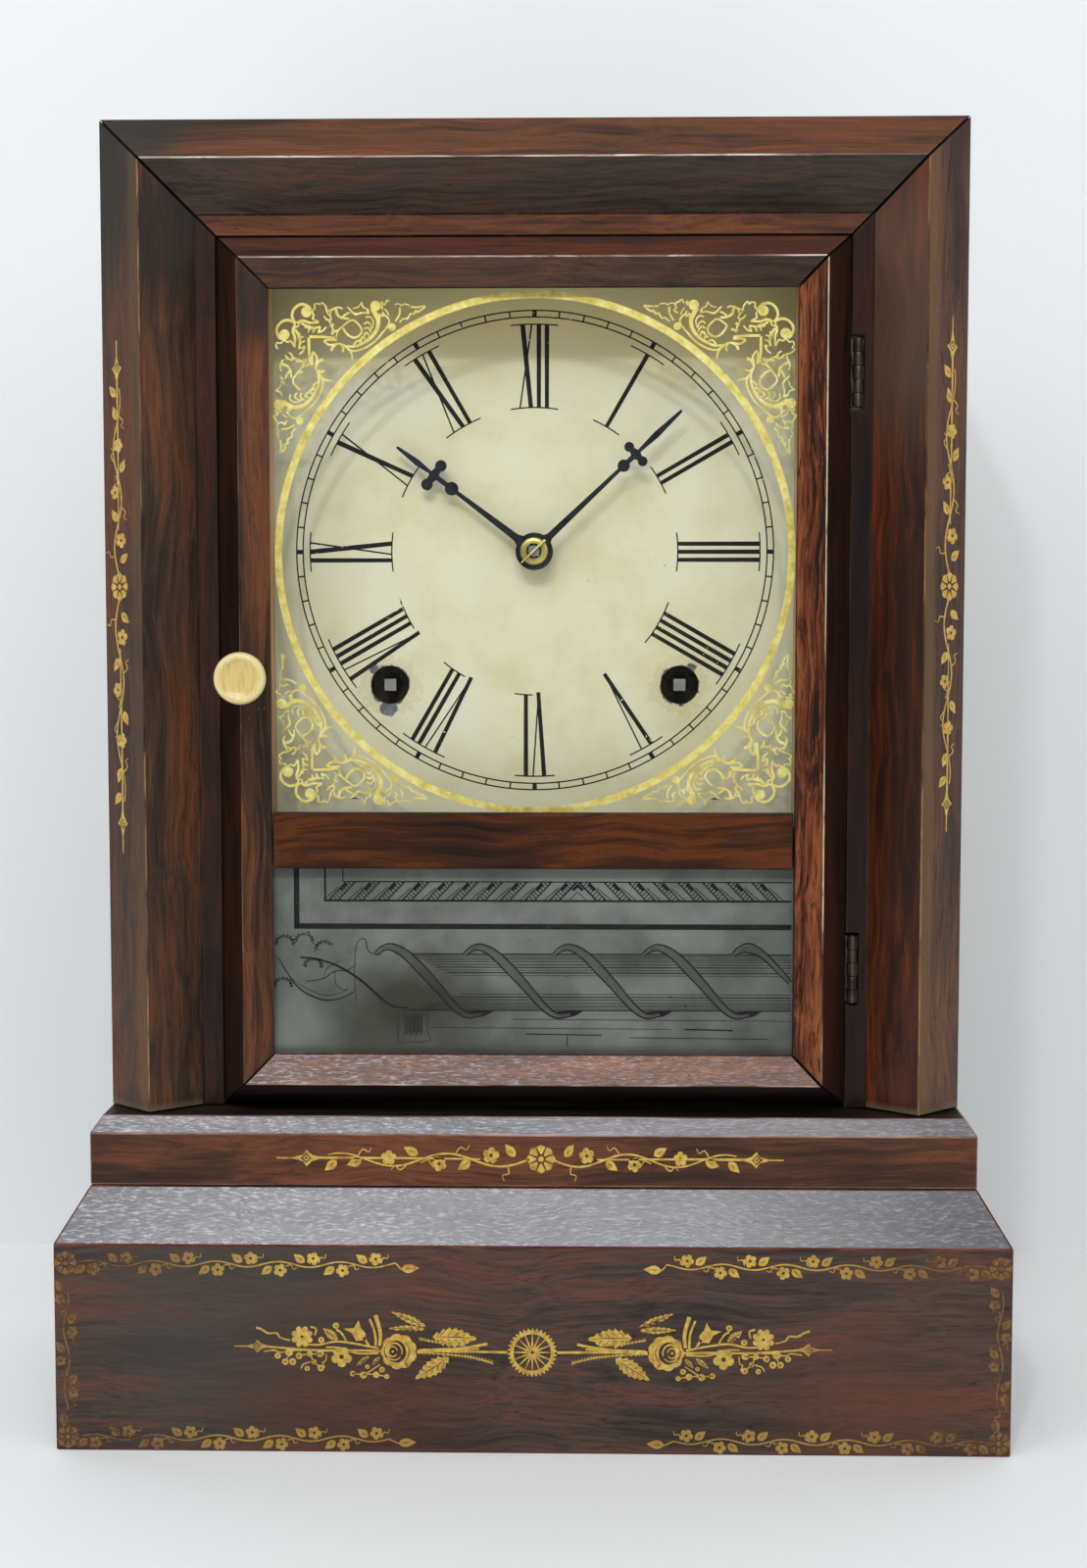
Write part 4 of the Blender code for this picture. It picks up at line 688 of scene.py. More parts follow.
def circle(radius, count=32, x=0.0, y=0.0):
    """The outline of a disc."""
    turns = [math.tau * i / count for i in range(count)]
    return [(x + radius * math.cos(turn), y + radius * math.sin(turn)) for turn in turns]


def ring(outer, inner, count=32, x=0.0, y=0.0):
    """A disc with a round hole."""
    return [circle(outer, count, x, y), circle(inner, count, x, y)]


# %% Move a shape
def set_at(shape, x=0.0, y=0.0, turn=0.0, size=1.0, flip=1):
    """The shape mirrored (flip -1), scaled, turned counterclockwise in degrees, and moved."""
    c, s = math.cos(math.radians(turn)) * size, math.sin(math.radians(turn)) * size
    return [[(x + c * flip * u - s * v, y + s * flip * u + c * v) for u, v in outline] for outline in shape]


# %% Cut the shapes, in heights that differ by a small share
HEIGHT_STEP, HEIGHTS = 0.06, 5


def inlay(name, shapes, thickness=0.04):
    """Thin closed plates cut to the shapes, as one mesh on the ground that faces up.

    Plates overlap like brush strokes. Faces that share one plane would speckle there, so the plates get
    slightly different heights in turn.
    """
    plates = []
    for count, shape in enumerate(shapes):
        curve = bpy.data.curves.new(name, "CURVE")
        curve.dimensions = "2D"
        curve.fill_mode = "BOTH"
        curve.extrude = thickness * (1 + HEIGHT_STEP * (count % HEIGHTS)) * MM / 2
        for outline in shape:
            line = curve.splines.new("POLY")
            line.points.add(len(outline) - 1)
            for point, (x, y) in zip(line.points, outline):
                point.co = (x * MM, y * MM, 0.0, 1.0)
            line.use_cyclic_u = True
        plates.append(bpy.data.objects.new(name, curve))
        bpy.context.collection.objects.link(plates[-1])
    bpy.ops.object.select_all(action="DESELECT")
    for plate in plates:
        plate.select_set(True)
    bpy.context.view_layer.objects.active = plates[0]
    bpy.ops.object.convert(target="MESH")
    if len(plates) > 1:
        bpy.ops.object.join()
    obj = bpy.context.object
    bpy.ops.object.mode_set(mode="EDIT")
    bpy.ops.mesh.select_all(action="SELECT")
    bpy.ops.mesh.remove_doubles(threshold=0.001 * MM)
    bpy.ops.mesh.normals_make_consistent(inside=False)
    bpy.ops.object.mode_set(mode="OBJECT")
    obj.name = name
    obj["thickness"] = thickness
    return obj


# %% Settle a finished piece
def settle(obj, body, slot, *materials):
    """Writes the piece's place into its mesh, gives it its finish, and lets it ride on its body."""
    only(obj)
    bpy.ops.object.transform_apply(location=True, rotation=True, scale=True)
    obj.data.materials.clear()
    for material in materials:
        obj.data.materials.append(material)
    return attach(obj, body)


# %% Stand a flat piece on a surface
def lay(obj, origin, right, up, body, slot, *materials):
    """Puts a flat piece on the surface through origin. A viewer sees right and up as named."""
    right, up = Vector(right).normalized(), Vector(up).normalized()
    out = right.cross(up)
    sunk = Vector(origin) + out * obj["thickness"] * MM / 2
    obj.matrix_world = Matrix.Translation(sunk) @ Matrix((right, up, out)).transposed().to_4x4()
    return settle(obj, body, slot, *materials)


UPRIGHT = ((1, 0, 0), (0, 0, 1))
print("flat tools ready")

# %% [markdown]
# ## The painted dial
#
# The dial is sheet zinc under cream oil paint, which has yellowed, gathered fly specks and chipped at the
# holes where the winding key knocks it. A mask made of the distance from each hole, made ragged by noise,
# bares the grey metal there. The sheet is cut anew with finely rounded holes.


# %% Where the dial's holes are
DIAL_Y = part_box("dial_plate")[0].y
CENTRE_Z = DIAL_MIDDLE[2]
WINDING = (43.0, -39.3)
CENTRE_HOLE, WINDING_HOLE, GRIME = 5.2, 5.7, 8.5
# Bare spots beside the holes: place from the dial's middle, radius and raggedness.
CHIPS = ((-43.4, -46.2, 2.4, 2.0), (-47.6, -34.6, 1.2, 3.4), (46.6, -34.2, 0.9, 3.4))
# From the first of these heights up to the second, the paint is painted warmer and yellower: the warm shade
# under the door's top rail.
SHADE_TINT_LOW, SHADE_TINT_HIGH = 304, 324
print("dial front at y", round(DIAL_Y / MM, 2), "mm")


# %% Aged cream paint
def dial_paint():
    """Satin cream oil paint on zinc: stained, specked, chipped round the winding holes; painted warm shade at
    top.
    """
    material, tree, shader = finish("cream_paint_on_zinc", Specular_IOR_Level=0.35)
    place = add(tree, "ShaderNodeTexCoord").outputs["Object"]
    cloud = add(
        tree, "ShaderNodeTexNoise", {"Vector": place, "Scale": 1 / (26 * MM), "Detail": 5.0, "Roughness": 0.6}
    )
    cream = add(
        tree, "ShaderNodeValToRGB", {"Fac": cloud.outputs["Fac"]},
        stops=[(0.30, tint("#CFC89C")), (0.48, tint("#DAD6B4")), (0.70, tint("#DEDCC4"))],
    )
    rough = add(
        tree, "ShaderNodeTexNoise",
        {"Vector": place, "Scale": 1 / (2.2 * MM), "Detail": 4.0, "Roughness": 0.7}
    ).outputs["Fac"]
    centred = add(tree, "ShaderNodeMath", {0: rough, 1: 0.5}, operation="SUBTRACT").outputs[0]
    grime, chips = None, None
    holes = [(side * WINDING[0], WINDING[1]) for side in (-1, 1)]
    for x, z, radius, ragged in [(x, z, WINDING_HOLE, 3.4) for x, z in holes] + list(CHIPS):
        here = patch(tree, place, centred, (x * MM, DIAL_Y, CENTRE_Z + z * MM), radius, ragged)
        chips = here if chips is None else add(
            tree, "ShaderNodeMath", {0: chips, 1: here}, operation="MAXIMUM"
        ).outputs[0]
    for x, z in holes:
        here = patch(tree, place, centred, (x * MM, DIAL_Y, CENTRE_Z + z * MM), GRIME, 14)
        grime = here if grime is None else add(
            tree, "ShaderNodeMath", {0: grime, 1: here}, operation="MAXIMUM"
        ).outputs[0]
    dirty = add(tree, "ShaderNodeMath", {0: grime, 1: 0.22}, operation="MULTIPLY")
    stained = add(
        tree, "ShaderNodeMix", {0: dirty.outputs[0], 6: cream.outputs[0], 7: tint("#B39A62")},
        data_type="RGBA"
    )
    # The band under the door's top rail is painted warmer and yellower, a painted tint of that rail's shade.
    up = add(tree, "ShaderNodeSeparateXYZ", {"Vector": place}).outputs["Z"]
    painted_shade_tint = add(
        tree, "ShaderNodeMapRange",
        {"Value": up, "From Min": SHADE_TINT_LOW * MM, "From Max": SHADE_TINT_HIGH * MM, "To Max": 0.8}
    )
    stained = add(
        tree, "ShaderNodeMix", {0: painted_shade_tint.outputs[0], 6: stained.outputs[2], 7: tint("#E2D08E")},
        data_type="RGBA"
    ).outputs[2]
    cells = add(tree, "ShaderNodeTexVoronoi", {"Vector": place, "Scale": 1 / (5.5 * MM), "Randomness": 1.0})
    size = add(tree, "ShaderNodeSeparateColor", {"Color": cells.outputs["Color"]})
    reach = add(tree, "ShaderNodeMath", {0: size.outputs[0], 1: 0.045}, operation="MULTIPLY")
    inside = add(
        tree, "ShaderNodeMath", {0: cells.outputs["Distance"], 1: reach.outputs[0]}, operation="LESS_THAN"
    )
    speck = add(tree, "ShaderNodeMath", {0: inside.outputs[0], 1: 0.7}, operation="MULTIPLY")
    specked = add(
        tree, "ShaderNodeMix", {0: speck.outputs[0], 6: stained, 7: tint("#6B5B3A")}, data_type="RGBA"
    )
    zinc = add(
        tree, "ShaderNodeValToRGB", {"Fac": rough}, stops=[(0.35, tint("#4B4C48")), (0.6, tint("#74767A"))]
    )
    bare = add(tree, "ShaderNodeMix", {0: chips, 6: specked.outputs[2], 7: zinc.outputs[0]}, data_type="RGBA")
    height = add(
        tree, "ShaderNodeMath", {0: chips, 1: -1.0, 2: cloud.outputs["Fac"]}, operation="MULTIPLY_ADD"
    )
    bump = add(tree, "ShaderNodeBump", {"Strength": 0.4, "Distance": 0.12 * MM, "Height": height.outputs[0]})
    sheen = add(tree, "ShaderNodeMapRange", {"Value": cloud.outputs["Fac"], "To Min": 0.38, "To Max": 0.6})
    tree.links.new(bare.outputs[2], shader.inputs["Base Color"])
    tree.links.new(sheen.outputs[0], shader.inputs["Roughness"])
    tree.links.new(bump.outputs[0], shader.inputs["Normal"])
    return material


# %% Cut the dial sheet
low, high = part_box("dial_plate")
sheet = [(low.x / MM, (low.z - CENTRE_Z) / MM), (high.x / MM, (low.z - CENTRE_Z) / MM),
         (high.x / MM, (high.z - CENTRE_Z) / MM), (low.x / MM, (high.z - CENTRE_Z) / MM)]
holes = [circle(CENTRE_HOLE, 48)]
holes += [circle(WINDING_HOLE, 48, side * WINDING[0], WINDING[1]) for side in (-1, 1)]
dial = inlay("dial_sheet", [[sheet, *holes]], thickness=(high.y - low.y) / MM)
lay(dial, (0, high.y, CENTRE_Z), *UPRIGHT, "case", "dial_paint", dial_paint())
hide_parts("dial_plate")
print("dial sheet", len(dial.data.polygons), "faces")

# %% [markdown]
# ## Numerals and minute track
#
# The numerals are ruled with a pen: each I is an even bar, each X and V has one heavy and one hairline leg,
# and a thin arc closes both ends. A font's letters would have upright sides and flat serifs. All of them
# stand with their feet toward the middle, so that one description of the letters, turned in steps of 30
# degrees, makes the whole dial.

# %% Letters as a half width and legs: place at the outer end, place at the inner end, width
OUTER, INNER = 66.5, 42.3
SERIF, OVERHANG, LEAST_REACH, SHARP_FOOT, FOOT_SPAN = 0.38, 2.2, 5.6, 0.8, 2.4
LETTERS = {
    "I": (1.18, [(0, 0, 1.32)]),
    "X": (2.45, [(-1.16, 1.29, 1.45), (1.55, -1.88, 0.5)]),
    "V": (2.60, [(-1.65, 0.1, 1.3), (1.65, 0.0, 0.45)]),
}
HOURS = ("XII", "I", "II", "III", "IIII", "V", "VI", "VII", "VIII", "IX", "X", "XI")
print(len(HOURS), "numerals")


def arc_line(radius, start, end, width):
    """A thin arc about the dial's middle, from start to end in mm along it, clockwise from the top."""
    count = max(3, int(abs(end - start) / 1.5))
    angles = [(start + (end - start) * i / count) / radius for i in range(count + 1)]
    outside = [((radius + width / 2) * math.sin(a), (radius + width / 2) * math.cos(a)) for a in angles]
    inside = [((radius - width / 2) * math.sin(a), (radius - width / 2) * math.cos(a)) for a in angles]
    return [outside + inside[::-1]]


def numeral(word):
    """One numeral at the top of the dial, as shapes in mm."""
    place = -sum(LETTERS[letter][0] for letter in word)
    first_foot = None
    shapes = []
    for letter in word:
        half, legs = LETTERS[letter]
        place += half
        past = SHARP_FOOT if letter == "V" else 0.0
        for outer, inner, width in legs:
            top, foot = place + outer, place + inner
            shapes.append([[(top - width / 2, OUTER), (top + width / 2, OUTER),
                            (foot + width * 0.45, INNER - past), (foot - width * 0.45, INNER - past)]])
        if letter != "V":
            first_foot = place - half if first_foot is None else first_foot
        place += half
    reach = max(place + OVERHANG, LEAST_REACH)
    shapes.append(arc_line(OUTER, -reach, reach, SERIF))
    if first_foot is not None:
        end = place if word[-1] != "V" else first_foot + FOOT_SPAN
        spare = OVERHANG if len(word) > 1 else OVERHANG + 1.0
        before = spare if word[0] != "V" else SHARP_FOOT
        shapes.append(arc_line(INNER, first_foot - before, end + spare, SERIF))
    return shapes


# %% Black paint that has flaked in places
def lamp_black(name, ground, chipped=1.0):
    """Thin black oil paint: satin, with pinhole chips that show the ground under it."""
    material, tree, shader = finish(name, Roughness=0.6, Specular_IOR_Level=0.15)
    place = add(tree, "ShaderNodeTexCoord").outputs["Object"]
    fine = add(tree, "ShaderNodeTexNoise", {"Vector": place, "Scale": 1 / (1.1 * MM), "Detail": 3.0})
    wide = add(tree, "ShaderNodeTexNoise", {"Vector": place, "Scale": 1 / (21 * MM), "Detail": 2.0})
    both = add(
        tree, "ShaderNodeMath", {0: wide.outputs["Fac"], 1: 0.55, 2: fine.outputs["Fac"]},
        operation="MULTIPLY_ADD"
    )
    flaked = add(
        tree, "ShaderNodeMapRange",
        {"Value": both.outputs[0], "From Min": 1.0, "From Max": 1.03, "To Max": chipped}
    )
    black = add(
        tree, "ShaderNodeMix", {0: fine.outputs["Fac"], 6: tint("#101010"), 7: tint("#201E1D")},
        data_type="RGBA"
    )
    colour = add(
        tree, "ShaderNodeMix", {0: flaked.outputs[0], 6: black.outputs[2], 7: tint(ground)}, data_type="RGBA"
    )
    tree.links.new(colour.outputs[2], shader.inputs["Base Color"])
    return material


black_paint = lamp_black("lamp_black_paint", "#CFCBAA")

# %% Paint the numerals and the track
TRACK_OUTER, TRACK_INNER, TRACK_LINE, TRACK_MIDDLE, TICK = 70.5, 68.6, 0.4, 69.5, 1.9
WIDE_TICK, NARROW_TICK = 0.65, 0.22
letters = []
for hour, word in enumerate(HOURS):
    letters += [set_at(shape, turn=-30 * hour) for shape in numeral(word)]
numerals = inlay("dial_numerals", letters)
lay(numerals, (0, DIAL_Y, CENTRE_Z), *UPRIGHT, "case", "dial_paint", black_paint)
track = [ring(radius + TRACK_LINE / 2, radius - TRACK_LINE / 2, 180) for radius in (TRACK_OUTER, TRACK_INNER)]
for minute in range(60):
    half = WIDE_TICK if minute % 5 == 0 else NARROW_TICK
    track.append(set_at(arc_line(TRACK_MIDDLE, -half, half, TICK), turn=-6 * minute))
minute_track = inlay("dial_minute_track", track)
lay(minute_track, (0, DIAL_Y, CENTRE_Z), *UPRIGHT, "case", "dial_paint", black_paint)
print("numerals", len(numerals.data.polygons), "faces, track", len(minute_track.data.polygons), "faces")

# %% [markdown]
# ## The glass
#
# Old window glass is clear, very slightly uneven, and hardly tinted at this thickness. A refracting shader
# would block the lamps and leave the dial dark, so the pane lets light straight through and only adds its
# reflection, which grows toward grazing angles as it does on real glass.


# %% Old window glass
def window_glass(name, ior):
    """Clear pane: transparent, with a wavy mirror on top and a breath of dust."""
    material, tree, _ = finish(name)
    tree.nodes.clear()
    place = add(tree, "ShaderNodeTexCoord").outputs["Object"]
    wave = add(tree, "ShaderNodeTexNoise", {"Vector": place, "Scale": 1 / (45 * MM), "Detail": 1.0})
    bump = add(tree, "ShaderNodeBump", {"Strength": 0.2, "Distance": 0.6 * MM, "Height": wave.outputs["Fac"]})
    clear = add(tree, "ShaderNodeBsdfTransparent", {"Color": (1.0, 1.0, 1.0, 1.0)})
    mirror = add(tree, "ShaderNodeBsdfGlossy", {"Roughness": 0.03, "Normal": bump.outputs[0]})
    grazing = add(tree, "ShaderNodeFresnel", {"IOR": ior})
    entering = add(
        tree, "ShaderNodeMath", {0: 1.0, 1: add(tree, "ShaderNodeNewGeometry").outputs["Backfacing"]},
        operation="SUBTRACT"
    )
    share = add(tree, "ShaderNodeMath", {0: grazing.outputs[0], 1: entering.outputs[0]}, operation="MULTIPLY")
    pane = add(tree, "ShaderNodeMixShader", {0: share.outputs[0], 1: clear.outputs[0], 2: mirror.outputs[0]})
    dust = add(
        tree, "ShaderNodeTexNoise", {"Vector": place, "Scale": 1 / (9 * MM), "Detail": 6.0, "Roughness": 0.75}
    )
    film = add(
        tree, "ShaderNodeMapRange",
        {"Value": dust.outputs["Fac"], "From Min": 0.45, "From Max": 0.8, "To Max": 0.012}
    )
    grey = add(tree, "ShaderNodeBsdfDiffuse", {"Color": tint("#C9C6B8")})
    dusty = add(tree, "ShaderNodeMixShader", {0: film.outputs[0], 1: pane.outputs[0], 2: grey.outputs[0]})
    add(tree, "ShaderNodeOutputMaterial", {"Surface": dusty.outputs[0]})
    return material


nodes["dial_glass"].material_slots[0].material = window_glass("old_window_glass", 1.3)
low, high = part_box("dial_glass")
GLASS_BACK = high.y
print("glass back at y", round(GLASS_BACK / MM, 2), "mm")

# %% [markdown]
# ## Gilding behind the dial glass
#
# The ring and the four corner ornaments are painted in gold on the back of the glass, a good way in front of
# the dial, so they throw soft shadows on it. One arm of the ornament is drawn on squared paper as brush
# strokes. Mirrored about the diagonal it makes a corner, and mirrored twice more it makes all four.


# %% Gold paint, and where it has faded on the base in mm
FADE_X, GONE_X, WORN_Z, SOUND_Z = 64, 113, 6, 30


def gold_paint(name, bright, mid, dull, grain, metallic, faded=False):
    """Bronze powder in varnish: a soft gold that is patchy where the brush lifted.

    Where it is faded, it turns brown toward the ends and the foot of the base.
    """
    material, tree, shader = finish(name, Roughness=0.48, Metallic=metallic)
    place = add(tree, "ShaderNodeTexCoord").outputs["Object"]
    cloud = add(
        tree, "ShaderNodeTexNoise",
        {"Vector": place, "Scale": 1 / (grain * MM), "Detail": 4.0, "Roughness": 0.7}
    )
    tone = add(
        tree, "ShaderNodeValToRGB", {"Fac": cloud.outputs["Fac"]},
        stops=[(0.32, tint(dull)), (0.5, tint(mid)), (0.66, tint(bright))],
    ).outputs[0]
    if faded:
        parts = add(tree, "ShaderNodeSeparateXYZ", {"Vector": place})
        side = add(tree, "ShaderNodeMath", {0: parts.outputs["X"]}, operation="ABSOLUTE")
        rubbed = add(
            tree, "ShaderNodeMapRange",
            {"Value": side.outputs[0], "From Min": FADE_X * MM, "From Max": GONE_X * MM, "To Max": 0.92},
        )
        low_down = add(
            tree, "ShaderNodeMapRange",
            {"Value": parts.outputs["Z"], "From Min": WORN_Z * MM, "From Max": SOUND_Z * MM, "To Min": 0.45,
             "To Max": 0.0},
        )
        most = add(
            tree, "ShaderNodeMath", {0: rubbed.outputs[0], 1: low_down.outputs[0]}, operation="MAXIMUM"
        )
        patchy = add(
            tree, "ShaderNodeMapRange",
            {"Value": cloud.outputs["Fac"], "From Min": 0.3, "From Max": 0.6, "To Min": 0.5, "To Max": 1.15}
        )
        gone = add(
            tree, "ShaderNodeMath", {0: most.outputs[0], 1: patchy.outputs[0]}, operation="MULTIPLY",
            use_clamp=True
        )
        tone = add(
            tree, "ShaderNodeMix", {0: gone.outputs[0], 6: tone, 7: tint("#5E3A20")}, data_type="RGBA"
        ).outputs[2]
    tree.links.new(tone, shader.inputs["Base Color"])
    bump = add(
        tree, "ShaderNodeBump", {"Strength": 0.2, "Distance": 0.03 * MM, "Height": cloud.outputs["Fac"]}
    )
    tree.links.new(bump.outputs[0], shader.inputs["Normal"])
    return material


glass_gold = gold_paint("gold_paint_on_glass", "#F3E79C", "#E3D372", "#C6B052", 3.5, 0.4)

# %% One arm of the corner ornament
SQUARE = 0.32
STROKES = (
    # the volute, its scroll and the knot it grows from
    (((21, 21), (18.6, 15), (20.5, 9), (26, 5.0), (32, 6.0), (35.6, 9.4)), 1.8, 2.0),
    (((21.5, 27), (23.5, 31), (24.6, 36)), 1.6, 1.2),
    (((24.4, 20.4), (29, 19.4), (34, 21), (42.4, 20.6)), 2.2, 1.4),
    # the first serrated leaf and its frill
    (((42.4, 20.6), (37, 17.4), (38, 14.6), (36.4, 11), (39, 8.4), (38.6, 5), (42, 4.2), (44, 5.8),
      (45.6, 3.4), (49, 7.6), (49.6, 11), (53.6, 10), (52.6, 14)), 1.2, 1.0),
    (((47, 15), (49, 18), (52.4, 18.8)), 1.0, 1.4),
    (((49.6, 12), (53.6, 17), (52, 20.6), (56, 23.4)), 1.0, 1.2),
    (((29.6, 24.6), (33.6, 25.6), (33, 29.2)), 1.8, 0.8),
    (((33.6, 25.6), (38.4, 25.8), (36.8, 29.8)), 1.8, 0.8),
    (((38.4, 25.8), (43.4, 25), (41.6, 29.6)), 1.8, 0.8),
    (((41.6, 29.6), (46, 28), (49, 24.6)), 1.4, 1.0),
    (((52.6, 22), (55, 27), (54, 31), (57, 28.4), (60, 28)), 1.2, 1.4),
    # the crescent between the leaves
    (((53.6, 10), (57.4, 8), (61, 7.8), (63.6, 9)), 1.4, 1.0),
    (((57.4, 9), (59, 14), (63.6, 17), (69.6, 17.4)), 2.2, 1.2),
    (((63.6, 16), (67, 13.4), (70, 12.4)), 1.6, 1.0),
    # the large spiral
    (((57.6, 37), (59, 29), (65, 23), (72, 18.8), (77.6, 22.4), (80.8, 28), (77.6, 33), (72, 34), (66.6, 30),
      (63.6, 24.6)), 1.0, 1.6),
    # stems that end in discs
    (((90.4, 9), (93, 14), (95.4, 20), (93.6, 28), (88, 35), (81, 39.4), (74, 42), (66, 41.6)), 3.4, 1.2),
    (((99, 13), (104.6, 18), (104.4, 23), (99, 30), (91.6, 38), (83, 43.4), (74, 46), (68, 43.6)), 1.2, 1.2),
    # the feathered inner edge
    (((84, 16.6), (88, 16), (91, 20), (90, 26)), 1.0, 0.8),
    (((82.6, 22.6), (85.6, 20.6), (88.6, 23.4), (89, 28)), 1.2, 0.8),
    (((82.6, 26.6), (86.4, 25.6), (89, 30)), 1.6, 0.8),
    (((82.4, 32.6), (85.4, 29.6), (87.4, 34)), 1.6, 0.8),
    (((79, 37.6), (81.6, 33.6), (84, 37)), 1.6, 0.8),
    (((73, 41), (76.6, 37), (80, 38.6)), 1.4, 0.8),
    # the leaf between the stems
    (((99, 9.6), (98.4, 3), (101, 5.6), (103.4, 1.6), (106, 3.4), (109.4, 5.4), (108.6, 9), (110.4, 11),
      (107, 13.4)), 1.2, 1.2),
    (((97, 18), (96.6, 13.6), (99.6, 16.4), (99.4, 11.6)), 1.0, 1.0),
    (((101, 9), (103.6, 12), (104.4, 15)), 0.9, 0.9),
    # the trailing leaf
    (((110, 5.4), (113, 4.6), (116, 6), (119, 4.8), (123, 6)), 0.8, 0.8),
    (((124, 7.4), (130, 7.8), (137, 7), (130.6, 12), (129, 10.6), (126.6, 14.4), (124.4, 13.2), (121, 18),
      (118, 17.6), (114, 21)), 1.3, 1.1),
    (((114.6, 8), (114.2, 14), (110.6, 20)), 1.4, 1.2),
    # bars and the loops under them
    (((34, 33.4), (47, 33.6), (58, 34.6)), 1.9, 1.6),
    (((46.6, 37), (51, 36), (58, 36)), 1.4, 1.6),
    (((46.6, 37), (52, 40.6), (60, 39.4), (66, 41.6)), 1.4, 1.4),
    (((60, 39.6), (55, 42), (53.4, 46)), 1.2, 2.0),
    (((62.6, 41), (64.4, 44), (63, 47)), 1.2, 1.2),
    (((66, 41.6), (71, 47), (72.4, 54)), 1.8, 1.0),
)
STAR_LEAF = (
    (67, 7), (72, 8.6), (77.4, 7), (81, 2.4), (82.6, 7.4), (87, 9.4), (87.6, 13.6), (82, 12.8), (75, 15),
    (71.6, 12.6),
)
DISCS = ((31.4, 11.6, 4.7), (93, 6.4, 4.6), (107.4, 25, 3.4))
BEAD_OUTER, BEAD_HOLE, BEAD_PLACE = 2.8, 1.2, 22.6
VEIN_SHARE_X, VEIN_SHARE_Y = 0.74, 0.62

BRUSH = 1.3
arm = [stroke(points, BRUSH * start, BRUSH * end) for points, start, end in STROKES]
star = list(STAR_LEAF)
star_x, star_y = sum(x for x, _ in star) / len(star), sum(y for _, y in star) / len(star)
hollow = [(star_x + VEIN_SHARE_X * (x - star_x), star_y + VEIN_SHARE_Y * (y - star_y)) for x, y in star]
arm.append([star, hollow])
arm += [[circle(radius, 20, x, y)] for x, y, radius in DISCS]
corner = arm + [[[(y, x) for x, y in outline] for outline in shape] for shape in arm]
corner.append(ring(BEAD_OUTER, BEAD_HOLE, 12, BEAD_PLACE, BEAD_PLACE))
print("one corner is", len(corner), "brush strokes")

# %% Paint the ring and the corners on the glass
RING_MIDDLE = (0.5 * MM, GLASS_BACK + 0.05 * MM, 0.256)
SIGHT_CORNER = (74.9, 72.4)
RING_OUTER, RING_INNER = 74.5, 72.4
painted = [ring(RING_OUTER, RING_INNER, 160)]
for across in (-1, 1):
    for upward in (-1, 1):
        for shape in corner:
            placed = []
            for outline in shape:
                cells = [(SIGHT_CORNER[0] - SQUARE * x, SIGHT_CORNER[1] - SQUARE * y) for x, y in outline]
                placed.append([(across * x, upward * y) for x, y in cells])
            painted.append(placed)
gilt_glass = inlay("dial_glass_gilding", painted)
lay(gilt_glass, RING_MIDDLE, *UPRIGHT, "door", "brass", glass_gold)
print("gilding on the glass", len(gilt_glass.data.polygons), "faces")

# %% [markdown]
# ## The lower tablet
#
# The lower glass is painted on its back: fine black lines first, then a coat of silver leaf and varnish over
# them. Seen from the front it's a cold silvery grey with stains and specks, crossed by a hatched border and a
# pole with a ribbon wound round it. The lines and the silvering are two thin layers behind clear glass.


# %% Tarnished silvering, and the places of its wear in mm
SILVER_LOW, SILVER_HIGH = 112, 165
SCRATCHED_X, SOUND_X = -35, 0.0
DAMP_X, DAMP_Z, PALE_X, PALE_Z = -22, 127, -74, 114
DIRT_LOW, DIRT_HIGH = 112.4, 114.2


